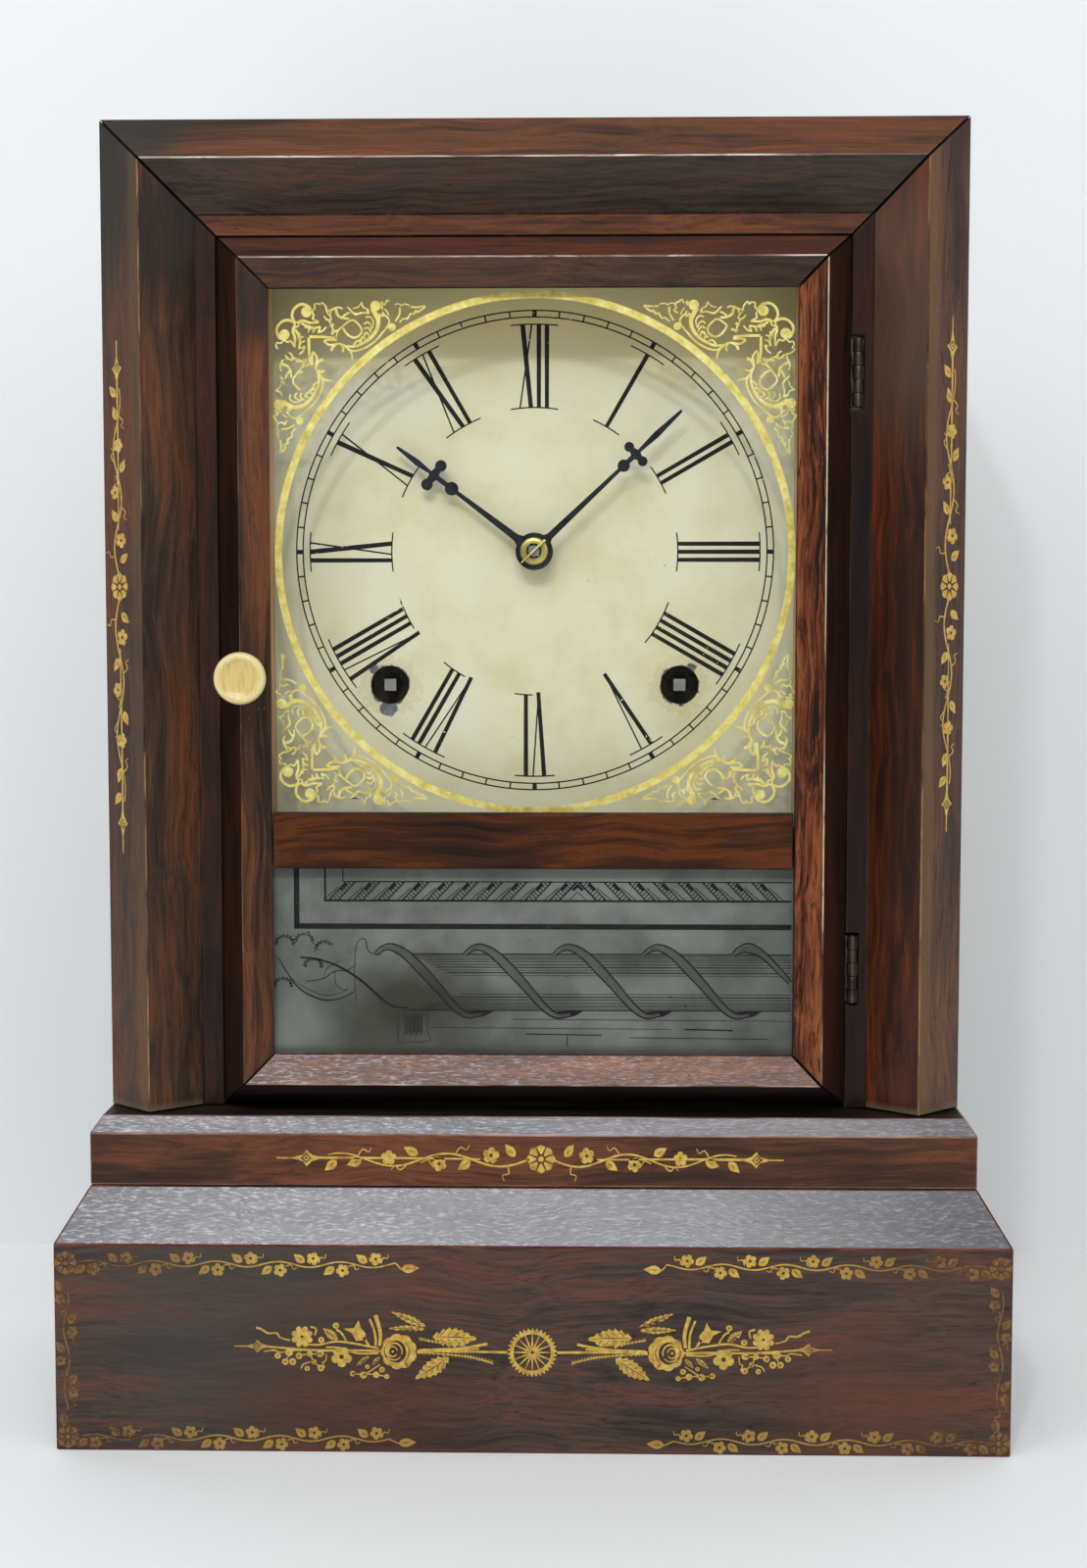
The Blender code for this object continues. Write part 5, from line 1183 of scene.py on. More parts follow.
def silvering(name, dull, usual, bright):
    """Silver leaf under varnish: grey-green, brushed in fine vertical streaks, specked black and stained."""
    material, tree, shader = finish(name, Roughness=0.5, Metallic=0.15, Specular_IOR_Level=0.2)
    place = add(tree, "ShaderNodeTexCoord").outputs["Object"]
    parts = add(tree, "ShaderNodeSeparateXYZ", {"Vector": place})
    cloud = add(
        tree, "ShaderNodeTexNoise", {"Vector": place, "Scale": 1 / (24 * MM), "Detail": 5.0, "Roughness": 0.6}
    )
    fall = add(
        tree, "ShaderNodeMapRange",
        {"Value": parts.outputs["Z"], "From Min": SILVER_LOW * MM, "From Max": SILVER_HIGH * MM,
         "To Min": -0.02, "To Max": 0.12},
    )
    level = add(tree, "ShaderNodeMath", {0: cloud.outputs["Fac"], 1: fall.outputs[0]}, operation="ADD")
    silver = add(
        tree, "ShaderNodeValToRGB", {"Fac": level.outputs[0]},
        stops=[(0.34, tint(dull)), (0.52, tint(usual)), (0.72, tint(bright))],
    )
    stretched = add(tree, "ShaderNodeMapping", {"Vector": place, "Scale": pitch(0.6, 4.5, "Z")})
    streak = add(
        tree, "ShaderNodeTexNoise",
        {"Vector": stretched.outputs[0], "Scale": 1.0, "Detail": 4.0, "Roughness": 0.7}
    )
    worn = add(
        tree, "ShaderNodeMapRange",
        {"Value": parts.outputs["X"], "From Min": SCRATCHED_X * MM, "From Max": SOUND_X, "To Min": 0.5,
         "To Max": 0.22},
    )
    streaks = add(
        tree, "ShaderNodeMapRange", {"Value": streak.outputs["Fac"], "From Min": 0.55, "From Max": 0.75}
    )
    scratch = add(tree, "ShaderNodeMath", {0: streaks.outputs[0], 1: worn.outputs[0]}, operation="MULTIPLY")
    scratched = add(
        tree, "ShaderNodeMix", {0: scratch.outputs[0], 6: silver.outputs[0], 7: tint("#3F4746")},
        data_type="RGBA"
    )
    flattened = add(tree, "ShaderNodeVectorMath", {0: place, 1: (0.6, 0.0, 1.0)}, operation="MULTIPLY")
    near = patch(
        tree, flattened.outputs[0], cloud.outputs["Fac"], (DAMP_X * MM, 0, DAMP_Z * MM), 11, 12, edge=13
    )
    damp = add(tree, "ShaderNodeMath", {0: near, 1: 0.95}, operation="MULTIPLY")
    stained = add(
        tree, "ShaderNodeMix", {0: damp.outputs[0], 6: scratched.outputs[2], 7: tint("#35342A")},
        data_type="RGBA"
    )
    low_left = patch(
        tree, place, cloud.outputs["Fac"], (PALE_X * MM, GLASS_BACK, PALE_Z * MM), 4, 14, edge=22
    )
    faded = add(tree, "ShaderNodeMath", {0: low_left, 1: 0.75}, operation="MULTIPLY")
    stained = add(
        tree, "ShaderNodeMix", {0: faded.outputs[0], 6: stained.outputs[2], 7: tint("#8B9088")},
        data_type="RGBA"
    ).outputs[2]
    foot = add(
        tree, "ShaderNodeMapRange",
        {"Value": parts.outputs["Z"], "From Min": DIRT_LOW * MM, "From Max": DIRT_HIGH * MM, "To Min": 0.7,
         "To Max": 0.0},
    )
    dusty = add(tree, "ShaderNodeMath", {0: foot.outputs[0], 1: cloud.outputs["Fac"]}, operation="MULTIPLY")
    stained = add(
        tree, "ShaderNodeMix", {0: dusty.outputs[0], 6: stained, 7: tint("#4A3A22")}, data_type="RGBA"
    ).outputs[2]
    crumbs = add(
        tree, "ShaderNodeTexNoise",
        {"Vector": place, "Scale": 1 / (1.5 * MM), "Detail": 4.0, "Roughness": 0.75}
    )
    gathered = add(
        tree, "ShaderNodeMath", {0: cloud.outputs["Fac"], 1: 0.25, 2: crumbs.outputs["Fac"]},
        operation="MULTIPLY_ADD"
    )
    pitted = add(
        tree, "ShaderNodeMapRange",
        {"Value": gathered.outputs[0], "From Min": 0.83, "From Max": 0.86, "To Max": 0.8}
    )
    stained = add(
        tree, "ShaderNodeMix", {0: pitted.outputs[0], 6: stained, 7: tint("#1E2222")}, data_type="RGBA"
    ).outputs[2]
    cells = add(tree, "ShaderNodeTexVoronoi", {"Vector": place, "Scale": 1 / (5.0 * MM), "Randomness": 1.0})
    size = add(tree, "ShaderNodeSeparateColor", {"Color": cells.outputs["Color"]})
    radius = add(tree, "ShaderNodeMath", {0: size.outputs[0], 1: 0.07}, operation="MULTIPLY")
    inside = add(
        tree, "ShaderNodeMath", {0: cells.outputs["Distance"], 1: radius.outputs[0]}, operation="LESS_THAN"
    )
    specked = add(
        tree, "ShaderNodeMix", {0: inside.outputs[0], 6: stained, 7: tint("#23282A")}, data_type="RGBA"
    )
    tree.links.new(specked.outputs[2], shader.inputs["Base Color"])
    return material


# %% Line work of the tablet, in mm across and up
SIGHT = 74.7
RAIL = 166.0
BAND_LOW, BAND_HIGH = 156.3, 161.8
CROSSING = 13.0
LADDER, LADDER_STEP, SLANT = 2.8, 7.1, 5.2
POLE_LOW, POLE_HIGH = 124.3, 140.8


def ruled(x0, z0, x1, z1, width):
    """A straight ruled line."""
    return stroke(((x0, z0), (x1, z1)), width, steps=1)


def ladder(foot):
    """A slanting ladder with its lozenge and hairline, from a foot measured from the crossing."""
    height = BAND_HIGH - BAND_LOW
    marks = [ruled(side, 0, side + SLANT, height, 0.36) for side in (foot, foot + LADDER)]
    for rung in range(10):
        x0, z0 = foot + SLANT * rung * 0.13, height * rung * 0.13
        x1, z1 = x0 + LADDER / 2, z0 - LADDER / 2
        over, under = max(z0 - height, 0), max(-z1, 0)
        marks.append(ruled(x0 + over, z0 - over, x1 - under, z1 + under, 0.28))
    marks.append(ruled(foot + SLANT - 1.7, height - 2.4, foot + SLANT + 0.2, height - 0.5, 0.95))
    marks.append(ruled(foot - 1.5, 0, foot + SLANT - 2.3, height - 1.6, 0.24))
    return marks


# Three frame lines come down from the rail and turn right, each thinner than the one outside it.
lines = [
    ruled(-68.5, RAIL, -68.5, 148.1, 1.6), ruled(-69.3, 148.8, SIGHT, 148.8, 1.6),
    ruled(-60.2, RAIL, -60.2, BAND_LOW - 0.2, 0.6), ruled(-60.4, BAND_LOW, SIGHT, BAND_LOW, 0.6),
    ruled(-55.0, RAIL, -55.0, BAND_HIGH, 0.3), ruled(-55.0, BAND_HIGH, SIGHT, BAND_HIGH, 0.3),
]
for side in (-1, 1):
    lines.append(ruled(CROSSING + side * 5.4, BAND_LOW, CROSSING, BAND_HIGH, 0.22))
    lines.append(ruled(CROSSING + side * 2.7, BAND_LOW, CROSSING, BAND_LOW + 2.7, 0.2))
    lines.append(ruled(CROSSING + side * 1.5, BAND_LOW + 3.1, CROSSING - side * 0.2, BAND_LOW + 4.7, 0.8))
    for step in range(10 if side < 0 else 8):
        lines += [set_at(mark, CROSSING, BAND_LOW, flip=-side) for mark in ladder(-8.4 - LADDER_STEP * step)]
print("border", len(lines), "marks")

# %% The pole, its ribbon, and the sketch at the left end
DENSE = tuple((0.36 * line, 0.15) for line in range(1, 6))
OPEN = ((2.3, 0.22), (3.1, 0.26), (3.9, 0.32), (4.75, 0.2), (5.5, 0.34), (6.3, 0.16))
RIBBON = (
    (0, -0.2), (2.0, 1.4), (4.8, 1.9), (9.3, -0.6), (16.6, -8.2), (22.8, -15.3), (26.7, -18.0), (30.6, -17.6)
)
UNDERSIDE = ((26.2, -0.4), (29.0, -1.9), (31.8, -1.6), (34.4, 0.1), (30.0, -0.1), (26.2, -0.4))
RIBBON_START, RIBBON_PITCH, RIBBON_TURNS = -45.7, 25.9, 5
# Hairlines under the pole, as start, end, height and width.
HAIRLINES = (
    (-6, SIGHT, 121.7, 0.16), (-2, 20, 117.4, 0.3), (-30, 40, 119.2, 0.14), (44, 58, 118.9, 0.4),
    (28, 68, 116.4, 0.2),
)
pole = [ruled(-40, POLE_HIGH, SIGHT, POLE_HIGH, 0.32), ruled(-38, POLE_LOW, SIGHT, POLE_LOW, 0.32)]
for depth, weight in DENSE + OPEN:
    pole.append(ruled(-36 + 2 * depth, POLE_HIGH - depth, SIGHT, POLE_HIGH - depth, weight))
    if depth < 5:
        pole.append(ruled(-35 + 3 * depth, POLE_LOW + depth, SIGHT, POLE_LOW + depth, weight))
ribbon = []
for turn in range(RIBBON_TURNS):
    start = RIBBON_START + RIBBON_PITCH * turn
    path = [(start + x, POLE_HIGH + z) for x, z in RIBBON if start + x < SIGHT]
    pole.append(stroke(path, 1.2, 1.4, 3.2))
    ribbon.append(stroke(path, 0.5, 0.7, 2.2))
    for aside in (-0.6, 0.0, 0.6):
        lines.append(stroke([(x + aside * 0.7, z + aside * 0.7) for x, z in path[1:]], 0.12, 0.12, 0.17))
    shade = through([(start + x, POLE_LOW + z) for x, z in UNDERSIDE], 3)
    pole.append([[(x, z) for x, z in shade if x < SIGHT]])
for x0, x1, z, weight in HAIRLINES:
    lines.append(ruled(x0, z, x1, z - 0.3, weight))
lines.append(ruled(10, 117.2, 10, 113.8, 0.25))
SKETCH = (
    (((-74, 139.5), (-70, 133.0), (-66.5, 129.5), (-61, 127.2), (-56, 127.6), (-52, 129.6)), 0.45),
    (((-70, 133.4), (-66, 130.6), (-61, 128.6), (-56, 129.2), (-53.4, 131.2)), 0.2),
    (((-67.6, 139.7), (-62, 139.0), (-56, 136.8), (-50, 133.0), (-44.6, 128.2), (-40.7, 125.4),
      (-36.2, 125)), 0.7),
    (((-51.6, 141.6), (-51.8, 134), (-51.4, 126)), 0.22),
    (((-66, 132.6), (-61, 133.4), (-57.6, 135.6), (-54.2, 135.8), (-51.4, 137.6)), 0.3),
    (((-61, 133.4), (-59.6, 136.6), (-56.4, 138.4)), 0.22),
    (((-57.6, 135.6), (-57, 131.4), (-53.4, 129.8)), 0.22),
    (((-39.4, 123.6), (-39.2, 117.6), (-39.6, 113.8)), 0.2),
    (((-30.4, 123.4), (-30.8, 118.4), (-30.2, 115.2), (-38.8, 115.0)), 0.2),
    (((-51.6, 141.6), (-50.6, 144.6), (-48.6, 145), (-48, 142), (-46.4, 140.8), (-44, 140.4)), 0.3),
)
for path, weight in SKETCH:
    lines.append(stroke(path, weight * 0.6, weight * 0.6, weight))
for line in range(14):
    x = -37.2 + 0.38 * line
    lines.append(ruled(x, 123.6 - 0.3 * (line % 3), x, 116.6 + 0.4 * (line % 4), 0.16))
for tuft, (x, z) in enumerate(((-72, 144), (-66.4, 144.6), (-60.6, 142.4), (-63.8, 137.4), (-72.6, 131.6))):
    leaves = []
    for step in range(25):
        reach = 1.9 + 0.55 * math.sin(step * 2.4 + tuft)
        turn = math.radians(200 - 9.2 * step)
        leaves.append((x + 1.3 * reach * math.cos(turn), z + reach * math.sin(turn)))
    lines.append(stroke(leaves, 0.26, steps=2))
print("pole", len(pole), "marks, ribbon", len(ribbon), "turns")

# %% Lay the layers behind the glass
low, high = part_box("tablet_glass")
# The dark tablet would show each lamp's image where the dial doesn't, so its pane reflects less.
nodes["tablet_glass"].material_slots[0].material = window_glass("dim_window_glass", 1.12)
left, right, foot, top = low.x / MM, high.x / MM, low.z / MM, high.z / MM
silver_sheet = [[(left, foot), (right, foot), (right, top), (left, top)]]
silver = silvering("silver_leaf_and_varnish", "#4E5249", "#626660", "#7A7E78")
smoked = silvering("smoked_silver_leaf", "#454943", "#575B54", "#6A6E66")
tablet_black = lamp_black("lamp_black_on_glass", "#3A3D3A", 0.6)
layers = (
    ("tablet_fine_lines", lines, 0.03, 0.02, tablet_black), ("tablet_ribbon", ribbon, 0.055, 0.02, smoked),
    ("tablet_pole", pole, 0.08, 0.02, tablet_black), ("tablet_silvering", [silver_sheet], 0.14, 0.05, silver),
)
for name, shapes, back, thickness, material in layers:
    layer = inlay(name, shapes, thickness)
    lay(layer, (0, high.y + back * MM, 0), *UPRIGHT, "door", "tablet", material)
    print(name, len(layer.data.polygons), "faces")

# %% [markdown]
# ## Metals
#
# Four metals are in the clock: sawn and polished brass, turned steel, heat-blued steel for the hands, and
# iron hinges that were blackened and have worn. Each differs in colour, in the length of its fine scratches,
# and in how much tarnish lies on it. Real scratches are hundredths of a millimetre wide, and they are drawn
# several tenths wide, so that they still break up the highlights in a picture of the whole clock.


# %% Metal with fine scratches and tarnish
def worked_metal(name, bright, dull, scratch, along, roughness, tarnish=0.5, metallic=1.0, shaded_from=None):
    """A metal whose tone runs from bright to dull, with scratches that many mm wide along an axis.

    From the depth that the last argument gives on, the metal is painted black: the shade inside a winding
    hole.
    """
    material, tree, shader = finish(name, Metallic=metallic)
    place = add(tree, "ShaderNodeTexCoord").outputs["Object"]
    stretched = add(
        tree, "ShaderNodeMapping", {"Vector": place, "Scale": pitch(scratch, scratch * 18, along)}
    )
    lines = add(tree, "ShaderNodeTexNoise", {"Vector": stretched.outputs[0], "Scale": 1.0, "Detail": 3.0})
    cloud = add(
        tree, "ShaderNodeTexNoise", {"Vector": place, "Scale": 1 / (6 * MM), "Detail": 4.0, "Roughness": 0.65}
    )
    stain = add(
        tree, "ShaderNodeMapRange",
        {"Value": cloud.outputs["Fac"], "From Min": 0.4, "From Max": 0.65, "To Max": tarnish}
    )
    tone = add(
        tree, "ShaderNodeMix", {0: stain.outputs[0], 6: tint(bright), 7: tint(dull)}, data_type="RGBA"
    ).outputs[2]
    # Behind that depth the metal is painted black, as painted shade inside the winding hole, not oil.
    if shaded_from is not None:
        depth = add(tree, "ShaderNodeSeparateXYZ", {"Vector": place}).outputs["Y"]
        oil = add(
            tree, "ShaderNodeMapRange",
            {"Value": depth, "From Min": shaded_from, "From Max": shaded_from + 2 * MM}
        )
        tone = add(
            tree, "ShaderNodeMix", {0: oil.outputs[0], 6: tone, 7: tint("#15120F")}, data_type="RGBA"
        ).outputs[2]
    gloss = add(
        tree, "ShaderNodeMapRange",
        {"Value": lines.outputs["Fac"], "To Min": roughness - 0.08, "To Max": roughness + 0.15}
    )
    bump = add(
        tree, "ShaderNodeBump", {"Strength": 0.25, "Distance": 0.05 * MM, "Height": lines.outputs["Fac"]}
    )
    tree.links.new(tone, shader.inputs["Base Color"])
    tree.links.new(gloss.outputs[0], shader.inputs["Roughness"])
    tree.links.new(bump.outputs[0], shader.inputs["Normal"])
    return material


brass = worked_metal("polished_brass", "#C9BC72", "#8A7438", 0.3, "X", 0.34)
plate_brass = worked_metal("sawn_sheet_brass", "#C2A95C", "#7D6A38", 0.35, "Z", 0.42)
# The front plate is painted near-black so that the winding holes look dark inside: painted shade, not
# tarnish.
shade_dark_brass = worked_metal("plate_brass_dark_as_shade", "#4E4024", "#1E170E", 0.35, "Z", 0.6, tarnish=1.0)
steel = worked_metal("turned_steel", "#A5A5A0", "#6F6C66", 0.3, "Y", 0.38)
blued = worked_metal("heat_blued_steel", "#30373E", "#16181A", 0.4, "Z", 0.36, tarnish=0.95, metallic=0.85)
# The arbors are painted black behind their square ends, as painted shade inside the winding holes.
winding_steel = worked_metal(
    "winding_steel_dark_as_shade", "#A5A5A0", "#6F6C66", 0.3, "Y", 0.38,
    shaded_from=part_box("time_winding_arbor")[0].y + 0.6 * MM
)
iron = worked_metal("blackened_iron", "#5B5249", "#2E2925", 0.6, "Z", 0.5, tarnish=0.9)
rubbed_iron = worked_metal("rubbed_iron_edge", "#A89C8C", "#5B5249", 0.3, "Z", 0.35, tarnish=0.6)
print("metals", brass.name, steel.name, blued.name, iron.name)

# %% [markdown]
# ## The hands
#
# Both hands are stamped from thin steel: a round boss, a slim stem, a pierced-looking trefoil made of one dot
# and two lobes, and a spear point. They're cut from a flat outline like the paint, only thicker, and a small
# bevel gives the stamped edge its highlight.


# %% One hand
HAND_SHEET, MINUTE_SQUARE, SQUARE_ROOM, HOUR_HOLE = 0.8, 2.9, 0.1, 3.2


def hand(name, boss, dot, dot_radius, lobe, lobe_out, lobe_radius, tip, stem, hole):
    """A hand that points up, as one shape with its hole. Heights are measured from the hole's middle."""
    def bow(x, y, radius, start, end, step):
        turns = [math.radians(a) for a in range(start, end, step)]
        return [(x + radius * math.cos(turn), y + radius * math.sin(turn)) for turn in turns]

    right = bow(0.0, 0.0, boss, -90, 76, 9)
    right += [(stem, boss + 1.2), (stem * 0.55, dot - dot_radius)]
    right += bow(0.0, dot, dot_radius, -68, 69, 17)
    right.append((0.75, lobe - 1.3))
    right += bow(lobe_out, lobe, lobe_radius, 215, 506, 18)
    right += [(0.5, lobe + 1.3), (0.95, lobe + (tip - lobe) * 0.45), (0.42, tip - 0.3), (0.3, tip)]
    outline = right + [(-x, y) for x, y in right[::-1] if x > 0.01]
    return inlay(name, [[outline, hole]], thickness=HAND_SHEET)


# %% Stamp, bevel and mount the hands
MINUTE_SHAPE = dict(
    boss=5.2, dot=36.0, dot_radius=1.8, lobe=40.9, lobe_out=2.85, lobe_radius=1.45, tip=59.2, stem=1.0
)
HOUR_SHAPE = dict(
    boss=5.5, dot=30.4, dot_radius=2.0, lobe=36.9, lobe_out=3.4, lobe_radius=1.7, tip=50.5, stem=1.1
)
for name, body, angle, shape in (
    ("minute_hand", "minute", 46.6, MINUTE_SHAPE), ("hour_hand", "hour", 307.1, HOUR_SHAPE),
):
    low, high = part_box(name)
    across = MINUTE_SQUARE / 2 + SQUARE_ROOM
    hole = circle(HOUR_HOLE, 28) if body == "hour" else [
        (-across, -across), (across, -across), (across, across), (-across, across)
    ]
    blank = hand(name + "_stamped", hole=hole, **shape)
    edge = blank.modifiers.new("stamped edge", "BEVEL")
    edge.width = 0.14 * MM
    edge.segments = 2
    edge.limit_method = "ANGLE"
    edge.angle_limit = math.radians(50)
    bpy.ops.object.modifier_apply(modifier=edge.name)
    turned = math.radians(angle)
    painted_glint_falloff, upward = (math.cos(turned), 0, -math.sin(turned)), (math.sin(turned), 0, math.cos(turned))
    lay(blank, (0, high.y, CENTRE_Z), painted_glint_falloff, upward, body, "blued_steel", blued)
    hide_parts(name)
    print(name, len(blank.data.polygons), "faces")

# %% [markdown]
# ## Knob, washer and hinges
#
# The knob is bone turned on a lathe, and the washer is a pressed brass dome. Both are spun round their own
# axis from a profile, which is the same thing a lathe does. The hinge barrels are rolled from sheet, so each
# knuckle is a short tube with softened ends.


# %% Spin a profile like a lathe
def lathe(name, profile, origin, steps=48):
    """Spins (radius, depth) points in mm about the Y axis through origin. Depth grows to the back."""
    points = [(radius * MM, depth * MM, 0.0) for radius, depth in profile]
    mesh = bpy.data.meshes.new(name)
    mesh.from_pydata(points, [(i, i + 1) for i in range(len(points) - 1)], [])
    obj = bpy.data.objects.new(name, mesh)
    bpy.context.collection.objects.link(obj)
    only(obj)
    bpy.ops.object.mode_set(mode="EDIT")
    bpy.ops.mesh.select_all(action="SELECT")
    bpy.ops.mesh.spin(steps=steps, angle=math.tau, center=(0, 0, 0), axis=(0, 1, 0))
    bpy.ops.mesh.select_all(action="SELECT")
    bpy.ops.mesh.remove_doubles(threshold=0.002 * MM)
    bpy.ops.mesh.normals_make_consistent(inside=False)
    bpy.ops.object.mode_set(mode="OBJECT")
    bpy.ops.object.shade_smooth_by_angle(angle=math.radians(40))
    obj.location = origin
    return obj


# %% Polished bone
low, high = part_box("door_knob")
KNOB_AXIS = ((low.x + high.x) / 2, low.y, (low.z + high.z) / 2)


def bone():
    """Turned and waxed bone: warm ivory, paler at the rim, with faint growth lines."""
    material, tree, shader = finish(
        "turned_bone", Subsurface_Weight=0.12, Subsurface_Scale=1.5 * MM, Coat_Weight=0.3, Coat_Roughness=0.2
    )
    place = add(tree, "ShaderNodeTexCoord").outputs["Object"]
    stretched = add(tree, "ShaderNodeMapping", {"Vector": place, "Scale": pitch(0.7, 9, "Z")})
    lines = add(tree, "ShaderNodeTexNoise", {"Vector": stretched.outputs[0], "Scale": 1.0, "Detail": 3.0})
    tone = add(
        tree, "ShaderNodeValToRGB", {"Fac": lines.outputs["Fac"]},
        stops=[(0.3, tint("#C6A457")), (0.5, tint("#D3B972")), (0.75, tint("#D9C484"))],
    )
    reach = add(tree, "ShaderNodeVectorMath", {0: place, 1: KNOB_AXIS}, operation="DISTANCE")
    rim = add(
        tree, "ShaderNodeMapRange",
        {"Value": reach.outputs["Value"], "From Min": 5.0 * MM, "From Max": 6.4 * MM, "To Max": 0.7},
    )
    tone = add(
        tree, "ShaderNodeMix", {0: rim.outputs[0], 6: tone.outputs[0], 7: tint("#E9DBA2")}, data_type="RGBA"
    ).outputs[2]
    dull = add(tree, "ShaderNodeMapRange", {"Value": lines.outputs["Fac"], "To Min": 0.28, "To Max": 0.45})
    bump = add(
        tree, "ShaderNodeBump", {"Strength": 0.15, "Distance": 0.05 * MM, "Height": lines.outputs["Fac"]}
    )
    tree.links.new(tone, shader.inputs["Base Color"])
    tree.links.new(dull.outputs[0], shader.inputs["Roughness"])
    tree.links.new(bump.outputs[0], shader.inputs["Normal"])
    return material


# %% Turn the knob
depth = (high.y - low.y) / MM
profile = [
    (0, 1.0), (2.6, 0.95), (4.3, 0.75), (5.1, 0.35), (5.6, 0.08), (6.1, 0.0), (6.7, 0.2), (7.15, 0.75),
    (7.35, 1.5), (7.25, 2.5), (6.8, 3.3), (5.6, 4.1), (3.9, 4.6), (3.2, 5.1), (3.2, depth), (0, depth),
]
knob = lathe("door_knob_turned", profile, KNOB_AXIS)
settle(knob, "knob", "bone", bone())
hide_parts("door_knob")
print("knob", round(depth, 2), "mm deep", len(knob.data.polygons), "faces")

# %% Press the washer's dome
low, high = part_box("hand_washer")
dome = [(2.25, 0.0), (2.9, 0.02), (3.4, 0.12), (3.85, 0.34), (4.1, 0.6), (2.25, 0.6), (2.25, 0.0)]
washer = lathe("hand_washer_domed", dome, (0, low.y, CENTRE_Z))
settle(washer, "minute", "brass", brass)
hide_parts("hand_washer")
print("washer", len(washer.data.polygons), "faces")

# %% Metal finishes on the solids that stay
FINISHES = (
    # The front plate's near-black brass is painted shade for the inside of the winding holes.
    ("latch", brass), ("hand_pin", brass), ("front_plate", shade_dark_brass), ("back_plate", plate_brass),
    ("center_arbor", steel), ("hour_wheel", brass), ("minute_wheel", brass),
    ("time_great_wheel", plate_brass), ("time_winding_arbor", winding_steel), ("time_mainspring", steel),
    ("time_second_wheel", brass), ("third_wheel", brass), ("escape_wheel", brass), ("verge", steel),
    ("pendulum_rod", steel), ("pendulum_bob", brass),
    ("strike_great_wheel", plate_brass), ("strike_winding_arbor", winding_steel),
    ("strike_mainspring", steel), ("strike_second_wheel", brass), ("strike_third_wheel", brass),
    ("fly", brass), ("hammer", steel), ("gong_coil", steel), ("gong_base", iron),
)
for node, material in FINISHES:
    nodes[node].material_slots[0].material = material
print(len(FINISHES), "solids finished in metal")

# %% Hinges with knuckles that are rubbed bright at their ends
for place in ("upper", "lower"):
    for leaf, body in (("case", "case"), ("door", "door")):
        hinge = board(
            f"hinge_{leaf}_leaf_{place}", body, iron, rub=0.16, edge=rubbed_iron, sharper=40
        )
        bpy.ops.object.shade_smooth_by_angle(angle=math.radians(30))
        print(hinge.name, len(hinge.data.polygons), "faces")

# %% [markdown]
# ## Bare pine
#
# The back, the rails, the cleats and the strips behind the glass are pine, planed and never finished. It's
# pale, with soft orange growth bands, and has gone grey-brown with dust.


# %% Pine
def pine(name, along, shift):
    """Planed pine whose growth bands run along an axis."""
    material, tree, shader = finish(name, Specular_IOR_Level=0.3)
    place = add(tree, "ShaderNodeTexCoord").outputs["Object"]
    slow = add(tree, "ShaderNodeTexNoise", {"Vector": place, "Scale": 1 / (60 * MM), "Detail": 1.0})
    bent = add(
        tree, "ShaderNodeVectorMath", {0: slow.outputs["Color"], 1: (14 * MM,) * 3, 2: place},
        operation="MULTIPLY_ADD",
    )
    stretched = add(
        tree, "ShaderNodeMapping",
        {"Vector": bent.outputs[0], "Location": shift, "Scale": pitch(5.5, 160, along)}
    )
    bands = add(
        tree, "ShaderNodeTexNoise",
        {"Vector": stretched.outputs[0], "Scale": 1.0, "Detail": 3.0, "Roughness": 0.55}
    )
    tone = add(
        tree, "ShaderNodeValToRGB", {"Fac": bands.outputs["Fac"]},
        stops=[(0.36, tint("#8E6D49")), (0.5, tint("#B7946A")), (0.66, tint("#C7A980"))],
    )
    dull = add(tree, "ShaderNodeMapRange", {"Value": bands.outputs["Fac"], "To Min": 0.62, "To Max": 0.85})
    bump = add(
        tree, "ShaderNodeBump", {"Strength": 0.3, "Distance": 0.1 * MM, "Height": bands.outputs["Fac"]}
    )
    tree.links.new(tone.outputs[0], shader.inputs["Base Color"])
    tree.links.new(dull.outputs[0], shader.inputs["Roughness"])
    tree.links.new(bump.outputs[0], shader.inputs["Normal"])
    return material


upright_pine = pine("planed_pine_upright", "Z", (2.2, 4.1, 0.7))
lying_pine = pine("planed_pine_lying", "X", (6.3, 1.8, 3.4))
for node, body, wood in (
    ("back_board", "case", upright_pine), ("base_back_rail", "case", lying_pine),
    ("dial_cleat_left", "case", upright_pine), ("dial_cleat_right", "case", upright_pine),
    ("movement_rail_left", "case", upright_pine), ("movement_rail_right", "case", upright_pine),
    ("glazing_strip_left", "door", upright_pine), ("glazing_strip_right", "door", upright_pine),
):
    piece = board(node, body, wood, rub=0.25)
    print(piece.name, len(piece.data.polygons), "faces of pine")

# %% [markdown]
# ## Bronze stencilling
#
# The case is decorated in bronze powder, rubbed through paper stencils onto tacky varnish. The same few cuts
# come back everywhere: a leaf with its slit, a small flower, a tendril. They're drawn once here, in mm, and
# each vine is then a row of them along a wavy stem.


# %% The stencil cuts
def leaf(length, width):
    """A pointed leaf along +x with a slit where the vein is."""
    shares = ((0, 0), (0.2, 0.4), (0.5, 0.5), (0.82, 0.2), (1, 0))
    edge = through([(along * length, aside * width) for along, aside in shares], 3)
    other = [(x, -0.9 * z) for x, z in edge[1:-1]]
    slit = stroke(((0.2 * length, 0), (0.6 * length, 0.02 * width)), 0.05, 0.05, 0.32)[0]
    return [edge + other[::-1], slit]


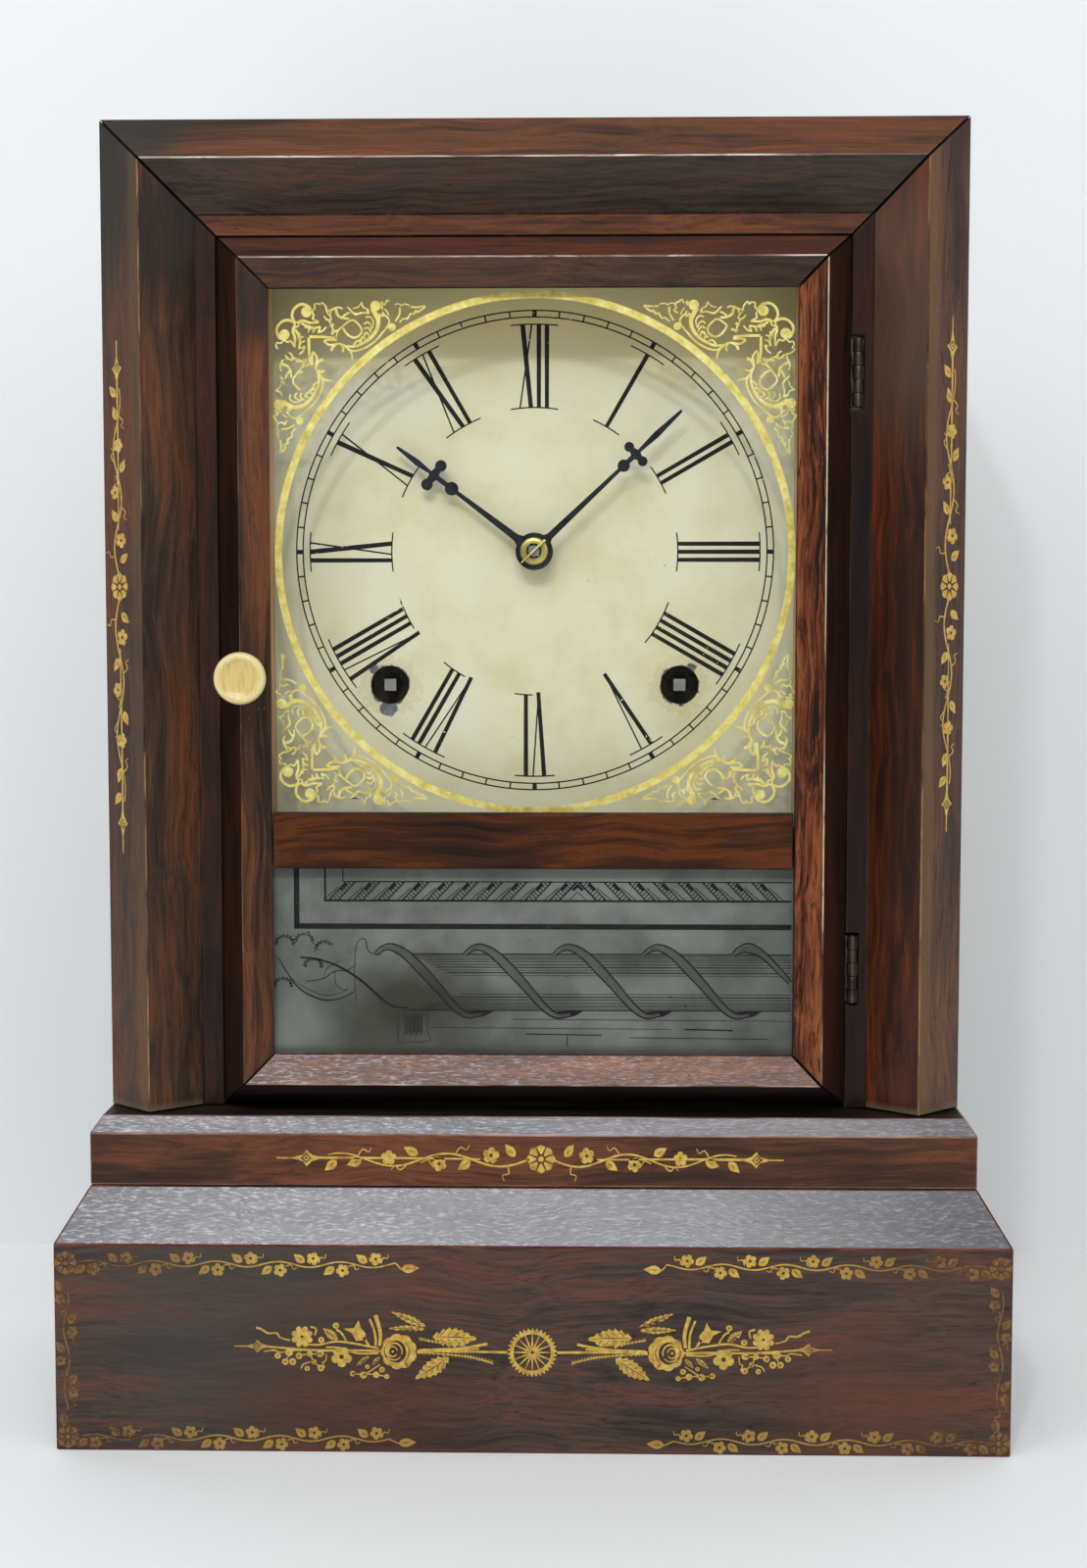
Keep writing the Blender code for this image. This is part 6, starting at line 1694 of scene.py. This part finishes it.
def toothed_leaf(length, width, teeth=7):
    """A rose leaf along +x: saw-toothed, with a slit for the midrib."""
    edge = [(0.0, 0.0)]
    for tooth in range(teeth):
        t = (tooth + 0.7) / teeth
        bulge = 0.5 * width * math.sin(math.pi * t**0.8)
        edge += [(length * t, bulge + 0.05 * width), (length * (t + 0.03), bulge - 0.09 * width)]
    edge.append((length, 0.0))
    other = [(x, -z) for x, z in edge[1:-1]]
    rib = stroke(((0.06 * length, 0), (0.5 * length, 0.03 * width), (0.93 * length, 0)), 0.1, 0.1, 0.5)[0]
    veins = []
    for vein in range(1, 5):
        x = 0.17 * length * vein
        for side in (-1, 1):
            root, end = (x, side * 0.1 * width), (x + 0.1 * length, side * 0.32 * width)
            veins.append(stroke((root, end), 0.42, 0.2, steps=1)[0])
    return [edge + other[::-1], rib, *veins]


def blossom(radius, petals=5, eye=0.24):
    """A flat flower with notched petals and an open eye."""
    outline = []
    for step in range(petals * 8):
        angle = math.tau * step / (petals * 8)
        reach = radius * (0.66 + 0.34 * abs(math.sin(petals * angle / 2)) ** 0.55)
        outline.append((reach * math.cos(angle), reach * math.sin(angle)))
    return [outline, circle(radius * eye, 8)]


def daisy(radius, petals=8):
    """Separate wedge petals round a small disc."""
    shapes = [[circle(0.2 * radius, 12)]]
    for petal in range(petals):
        half = math.pi / petals * 0.8
        rim = [(radius * (0.93 + 0.07 * math.cos(a * 2.5)) * math.cos(half * a), radius * math.sin(half * a))
               for a in (-1, -0.6, -0.2, 0.2, 0.6, 1)]
        wedge = [(0.34 * radius, -0.05 * radius), *rim, (0.34 * radius, 0.05 * radius)]
        shapes.append(set_at([wedge], turn=360 / petals * petal))
    return shapes


def tendril(size):
    """A small curl along +x."""
    shares = ((0, 0), (0.4, 0.35), (0.75, 0.1), (1, 0.4))
    return stroke([(along * size, aside * size) for along, aside in shares], 0.4, 0.2, 0.3)


def spike():
    """The needle and open diamond that end a vine, pointing to -x from the origin."""
    needle = [(0, 0.35), (-2.0, 0.9), (-3.7, 2.4), (-4.6, 0.9), (-7.6, 0.25), (-12.2, 0.2),
              (-12.2, -0.2), (-7.6, -0.25), (-4.6, -0.9), (-3.7, -2.4), (-2.0, -0.9), (0, -0.35)]
    opening = [(-2.2, 0), (-3.7, 1.5), (-5.4, 0), (-3.7, -1.5)]
    diamond = [(-2.7, 0), (-3.7, 1.0), (-4.7, 0), (-3.7, -1.0)]
    return [[needle, opening], [diamond, [(x * 0.5 - 1.85, z * 0.45) for x, z in diamond]]]


# %% The long vine with a flower in its middle: x, z and turn of each cut, in mm and degrees
HALF_VINE = 75.8
WAVE_START, WAVE_STEP, WAVE_COUNT, WAVE_LENGTH, WAVE_HEIGHT = -61, 2.4, 25, 30.6, 1.85
VINE_LEAVES = (
    (-58.6, -0.6, 222), (-51.4, -0.4, 200), (-35.2, 1.2, 152), (-20.2, -0.6, 215), (-7.4, 0.7, 128)
)
VINE_FLOWERS = ((-43.6, 0.2, 2.2), (-29.2, -1.5, 2.2), (-14.3, 1.0, 2.4))
VINE_TENDRILS = (
    (-52.4, 0.9, 10), (-38.6, -2.0, 175), (-34.4, -1.2, -20), (-24.4, 1.6, 10), (-9.5, -2.0, 235)
)


def half_vine():
    """Half of the long vine, from its middle flower to its spike at -x."""
    crest = -27.0
    wave = []
    for step in range(WAVE_COUNT):
        x = WAVE_START + WAVE_STEP * step
        wave.append((x, WAVE_HEIGHT * math.cos(math.tau * (x - crest) / WAVE_LENGTH) - 0.35))
    shapes = [stroke(((-64, 0.1), (-40, 0.1), (-17.5, -0.1)), 0.75, 0.45, 0.6)]
    shapes.append(stroke(wave, 0.4, 0.6, 0.55, steps=2))
    shapes += [set_at(shape, -63.6) for shape in spike()]
    shapes += [set_at(leaf(4.6, 2.7), x, z, turn) for x, z, turn in VINE_LEAVES]
    shapes += [set_at(blossom(radius), x, z, 17 * x) for x, z, radius in VINE_FLOWERS]
    shapes += [set_at(tendril(4.2), x, z, turn) for x, z, turn in VINE_TENDRILS]
    return shapes


def long_vine(left, right):
    """The whole vine along x, with its halves stretched to the two lengths."""
    shapes = daisy(4.1)
    for side, reach in ((1, left), (-1, right)):
        for shape in half_vine():
            shapes.append([[(side * x * reach / HALF_VINE, z) for x, z in outline] for outline in shape])
    return shapes


# %% The running vine of the base, in mm
PERIOD, STEM_STEP, STEM_START, STEM_HEIGHT = 17.8, 2.1, 4, 0.8
FIRST_PAIR, PAIR_OFFSET, BARE_END = 8.0, 9.4, 10
END_LEAF = 5.2


def running_vine(length, bloom):
    """A thinner vine along +x from a corner flower, with leaves and flowers on both sides in turn."""
    places = [STEM_START + STEM_STEP * step for step in range(int((length - 2 * STEM_START) / STEM_STEP))]
    stem = [(x, STEM_HEIGHT * math.sin(math.tau * (x - 3) / PERIOD)) for x in places]
    tip = (length - END_LEAF, -1.2)
    shapes = [stroke(stem, 0.25, 0.35, 0.5, steps=2), set_at(leaf(END_LEAF, 2.6), *tip, 4)]
    shapes.append(stroke((stem[-1], tip), 0.4))
    start = FIRST_PAIR
    while start < length - BARE_END - 2:
        for offset, side in ((0.0, -1), (PAIR_OFFSET, 1)):
            x = start + offset
            if x < length - BARE_END:
                shapes.append(set_at(blossom(bloom, 5), x, side * 1.7, 31 * x))
                shapes.append(set_at(leaf(3.9, 2.4), x - 2.4, side * 0.6, 180 - side * 38))
                shapes.append(set_at(tendril(3.0), x + 1.6, side * 0.5, side * 30))
        start += PERIOD
    return shapes


# %% The spray of flowers, on squared paper of 0.61 mm
CELL = 0.6075
SPRAY_STEMS = (
    (((-11.6, 0), (-30, 0.2), (-54, 0.3)), 1.2, 1.0),
    (((-21, 3.9), (-35, 1.6), (-53, 0.9)), 1.3, 0.9),
    (((-25, 1.6), (-38, 0.8), (-54, -0.5)), 0.9, 0.9),
    (((-71, 0.2), (-84, 0.4), (-103, 0.4), (-126.5, 2.1)), 1.0, 1.0),
    (((-72, 1.4), (-83, 3.6), (-92, 4.6), (-100, 3.0), (-106, 3.2)), 1.0, 0.8),
    (((-72, -0.8), (-82, -1.0), (-90, 1.6), (-97, 1.8)), 0.9, 0.7),
    (((-73.4, 2.4), (-73.8, 9), (-76.2, 15.6)), 1.3, 0.9),
    (((-71.6, 2.6), (-71.2, 9), (-73.4, 17.4)), 1.4, 1.9),
    (((-76.2, 2.2), (-79, 6.6)), 0.9, 1.2),
    (((-87, 4.4), (-89.4, 8.6), (-92, 10.4)), 0.9, 0.9),
    (((-113.6, 5.0), (-118, 6.2), (-120, 8.4), (-124, 8.4), (-127, 10.2), (-129.6, 11)), 0.7, 1.2),
    (((-104, 11.6), (-101.4, 10.6), (-102, 7.4)), 0.9, 0.9),
    (((-126, -0.4), (-121, 0.2), (-118, -0.8), (-113, 0.2), (-108, 0.2)), 0.7, 0.7),
    (((-114, -0.4), (-114.6, -3), (-116, -4.6)), 0.6, 0.6),
    (((-108.8, -2.0), (-104.4, -1.6), (-99.6, -1.2)), 0.6, 0.6),
    (((-104, -1.6), (-102.6, -5.2), (-99.6, -7.6)), 0.6, 0.6),
    (((-96.6, -1.4), (-97, -4.6), (-98.4, -5.6), (-97.4, -8)), 0.6, 0.6),
    (((-108.6, -8.4), (-107.4, -6.4), (-104, -5.2)), 0.6, 0.6),
    (((-84, -10.6), (-79, -11), (-74.6, -8.4), (-71.4, -6.2)), 0.6, 0.6),
    (((-79, -11), (-74, -11), (-69, -12)), 0.6, 0.5),
)
SPRAY_LEAVES = (
    (-46.6, 7.2, 20.6, 9.0, -2), (-50, 12.2, 17.4, 3.6, 157), (-50.4, 10.8, 17.0, 3.2, 179),
    (-39, -2.7, 19.0, 7.6, 213), (-91.4, 5.4, 8.6, 4.0, 140), (-84.4, -3.2, 5.4, 2.0, 195),
    (-76.6, -2.4, 7.4, 2.4, 218), (-71.6, -2.8, 5.6, 2.2, 228),
)
SPRAY_BERRIES = (
    (-119.5, -2.4, 1.5), (-114.2, -0.7, 1.9), (-116, -5.2, 1.6), (-112.5, -5.2, 1.7), (-109.5, -2.4, 1.6),
    (-104.5, -1.4, 1.4), (-99.5, -1.2, 1.8), (-102.5, -5.2, 1.2), (-105.7, -8.4, 1.3), (-99.3, -8.2, 1.6),
    (-84.3, -10.7, 1.4), (-79.3, -11.4, 1.7), (-77.3, -7.4, 1.1), (-73.3, -11.2, 1.6), (-70.5, -8.7, 1.4),
    (-68.3, -12, 1.2), (-99, 5.3, 1.5), (-92, 12.2, 1.5),
)
BELL = (
    (-78.2, 5.4), (-82.6, 5.0), (-84.6, 8.6), (-88.6, 10.8), (-83.6, 11.0), (-81.4, 14.8), (-80.4, 11.2),
    (-78.2, 8.6)
)


def toothed_stem(path, width):
    """A mossy stem: a row of short hooks along the path."""
    line = through(path, 7)
    return [stroke(line, width * 0.6, width * 0.5, steps=1)] + [
        stroke(((x, z), (x + width * 0.7, z + side * width)), 0.5 * width, 0.1 * width, steps=1)
        for x, z in line for side in (-1, 1)
    ]


def rose(radius):
    """A full rose: scalloped outer petals, an open ring, and rolled inner petals."""
    outer = []
    for step in range(63):
        angle = math.tau * step / 63
        reach = radius * (0.9 + 0.1 * abs(math.sin(4.5 * angle)))
        outer.append((reach * math.cos(angle), reach * math.sin(angle)))
    shapes = [[outer, circle(0.70 * radius, 40, -0.1 * radius)]]
    for size, shift, start, end, width in (
        (0.60, -0.12, -150, 195, 0.15), (0.42, -0.24, -20, 320, 0.13), (0.25, -0.33, 10, 330, 0.12),
    ):
        turn = [math.radians(start + (end - start) * i / 14) for i in range(15)]
        arc = [(radius * (shift + size * math.cos(a)), 1.12 * size * radius * math.sin(a)) for a in turn]
        shapes.append(stroke(arc, width * radius * 0.4, width * radius * 0.4, width * radius, steps=2))
    shapes.append([circle(0.07 * radius, 10, -0.33 * radius)])
    for angle in (-62, -30, 4, 40, 78):
        shapes.append(
            set_at(ruled(0.66 * radius, 0, 0.93 * radius, 0.06 * radius, 0.05 * radius), turn=angle)
        )
    return shapes


def spray():
    """Half of the base's bouquet, in cells from the toothed wheel toward -x."""
    shapes = [stroke(path, start, end) for path, start, end in SPRAY_STEMS]
    shapes += [set_at(toothed_leaf(length, width), x, z, turn) for x, z, length, width, turn in SPRAY_LEAVES]
    shapes += [[circle(radius, 12, x, z), circle(radius * 0.3, 6, x, z)] for x, z, radius in SPRAY_BERRIES]
    shapes += [set_at(shape, -62.6, 0) for shape in rose(8.6)]
    shapes += [
        set_at(blossom(5.2, 8, 0.15), -108, 6.8), set_at(blossom(5.0, 5), -89.5, -2.7, 20), [list(BELL)]
    ]
    shapes += toothed_stem(((-32, 3.4), (-42, 4.2), (-53, 6.2)), 1.0)
    shapes += toothed_stem(((-19, -5.0), (-28, -2.6), (-38, -1.4), (-52, -0.4)), 1.1)
    shapes += [set_at(shape, -124.4, 2.1, size=1 / CELL * 0.78) for shape in spike()]
    return shapes


# %% The toothed wheel between the sprays
def little_wheel():
    """A spoked wheel with saw teeth, in mm."""
    rim = []
    for tooth in range(34):
        for part, reach in ((0.0, 6.3), (0.25, 7.0), (0.55, 7.0), (0.75, 6.3)):
            angle = math.tau * (tooth + part) / 34
            rim.append((reach * math.cos(angle), reach * math.sin(angle)))
    shapes = [[rim, circle(5.3, 48)], ring(1.7, 0.5, 16)]
    for spoke in range(16):
        shapes.append(set_at([[(1.5, -0.3), (5.4, -0.1), (5.4, 0.1), (1.5, 0.3)]], turn=22.5 * spoke))
    return shapes


# %% Bronze powder on the case
bronze = gold_paint("bronze_powder_stencil", "#DEC264", "#C9A445", "#A0782F", 2.4, 0.25, faded=True)
BASE_Y, PLINTH_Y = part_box("base_front_board")[0].y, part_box("plinth_board")[0].y
print("base front", round(BASE_Y / MM, 1), "plinth front", round(PLINTH_Y / MM, 1))

# %% Stencil the base
BOUQUET_X, BOUQUET_Z = 0.3, 29.5
CORNER_X, UPRIGHT_TOP = 132.8, 52.0
# Height of each row's corner flower, and the length of its vine.
ROWS = ((54.6, 101.0), (3.9, 100.0))
bouquet = little_wheel()
for side in (1, -1):
    for shape in spray():
        bouquet.append([[(side * x * CELL, z * CELL) for x, z in outline] for outline in shape])
bouquet_piece = inlay("base_bouquet_stencil", bouquet)
lay(bouquet_piece, (BOUQUET_X * MM, BASE_Y, BOUQUET_Z * MM), *UPRIGHT, "case", "brass", bronze)
corners = []
for side in (-1, 1):
    for z, vine_length in ROWS:
        corners += [set_at(shape, side * CORNER_X, z) for shape in daisy(3.4)]
        corners += [set_at(shape, side * CORNER_X, z, flip=-side) for shape in running_vine(vine_length, 1.9)]
    for shape in running_vine(46.0, 1.6):
        corners.append(set_at(shape, side * CORNER_X, UPRIGHT_TOP, turn=-90))
border = inlay("base_border_stencil", corners)
lay(border, (0, BASE_Y, 0), *UPRIGHT, "case", "brass", bronze)
print("bouquet", len(bouquet_piece.data.polygons), "faces, border", len(border.data.polygons), "faces")

# %% Stencil the plinth and the stiles
VINE_X, VINE_Z, HALF_DEPTH = 2.6, 83.15, 57.5
plinth_vine = inlay("plinth_vine_stencil", long_vine(76.0, 69.5))
lay(plinth_vine, (VINE_X * MM, PLINTH_Y, VINE_Z * MM), *UPRIGHT, "case", "brass", bronze)
# Across a stile's outer face, from its corner at the case's side to its ridge, as x and y.
CORNER, RIDGE = (124.15, 25.5 - HALF_DEPTH), (110.9, 13.1 - HALF_DEPTH)
FLOWER_SHARE, FLOWER_Z = 0.39, 246.9
stile_bronze = gold_paint("bronze_powder_on_stiles", "#E0C474", "#CFA850", "#B08A40", 2.4, 0.25)
# Each stile's vine reaches that far above and below its middle flower.
for side, name, above, below in ((-1, "left", 70.1, 77.1), (1, "right", 76.4, 70.3)):
    x, y = [(a + (b - a) * FLOWER_SHARE) * MM for a, b in zip(CORNER, RIDGE)]
    across = (CORNER[0] - RIDGE[0], side * (CORNER[1] - RIDGE[1]), 0)
    upright_vine = [set_at(shape, turn=-90) for shape in long_vine(above, below)]
    piece = inlay("case_stile_" + name + "_stencil", upright_vine)
    lay(piece, (side * x, y, FLOWER_Z * MM), across, (0, 0, 1), "case", "brass", stile_bronze)
    print(piece.name, "spans", [round(v / MM, 1) for v in piece.dimensions])
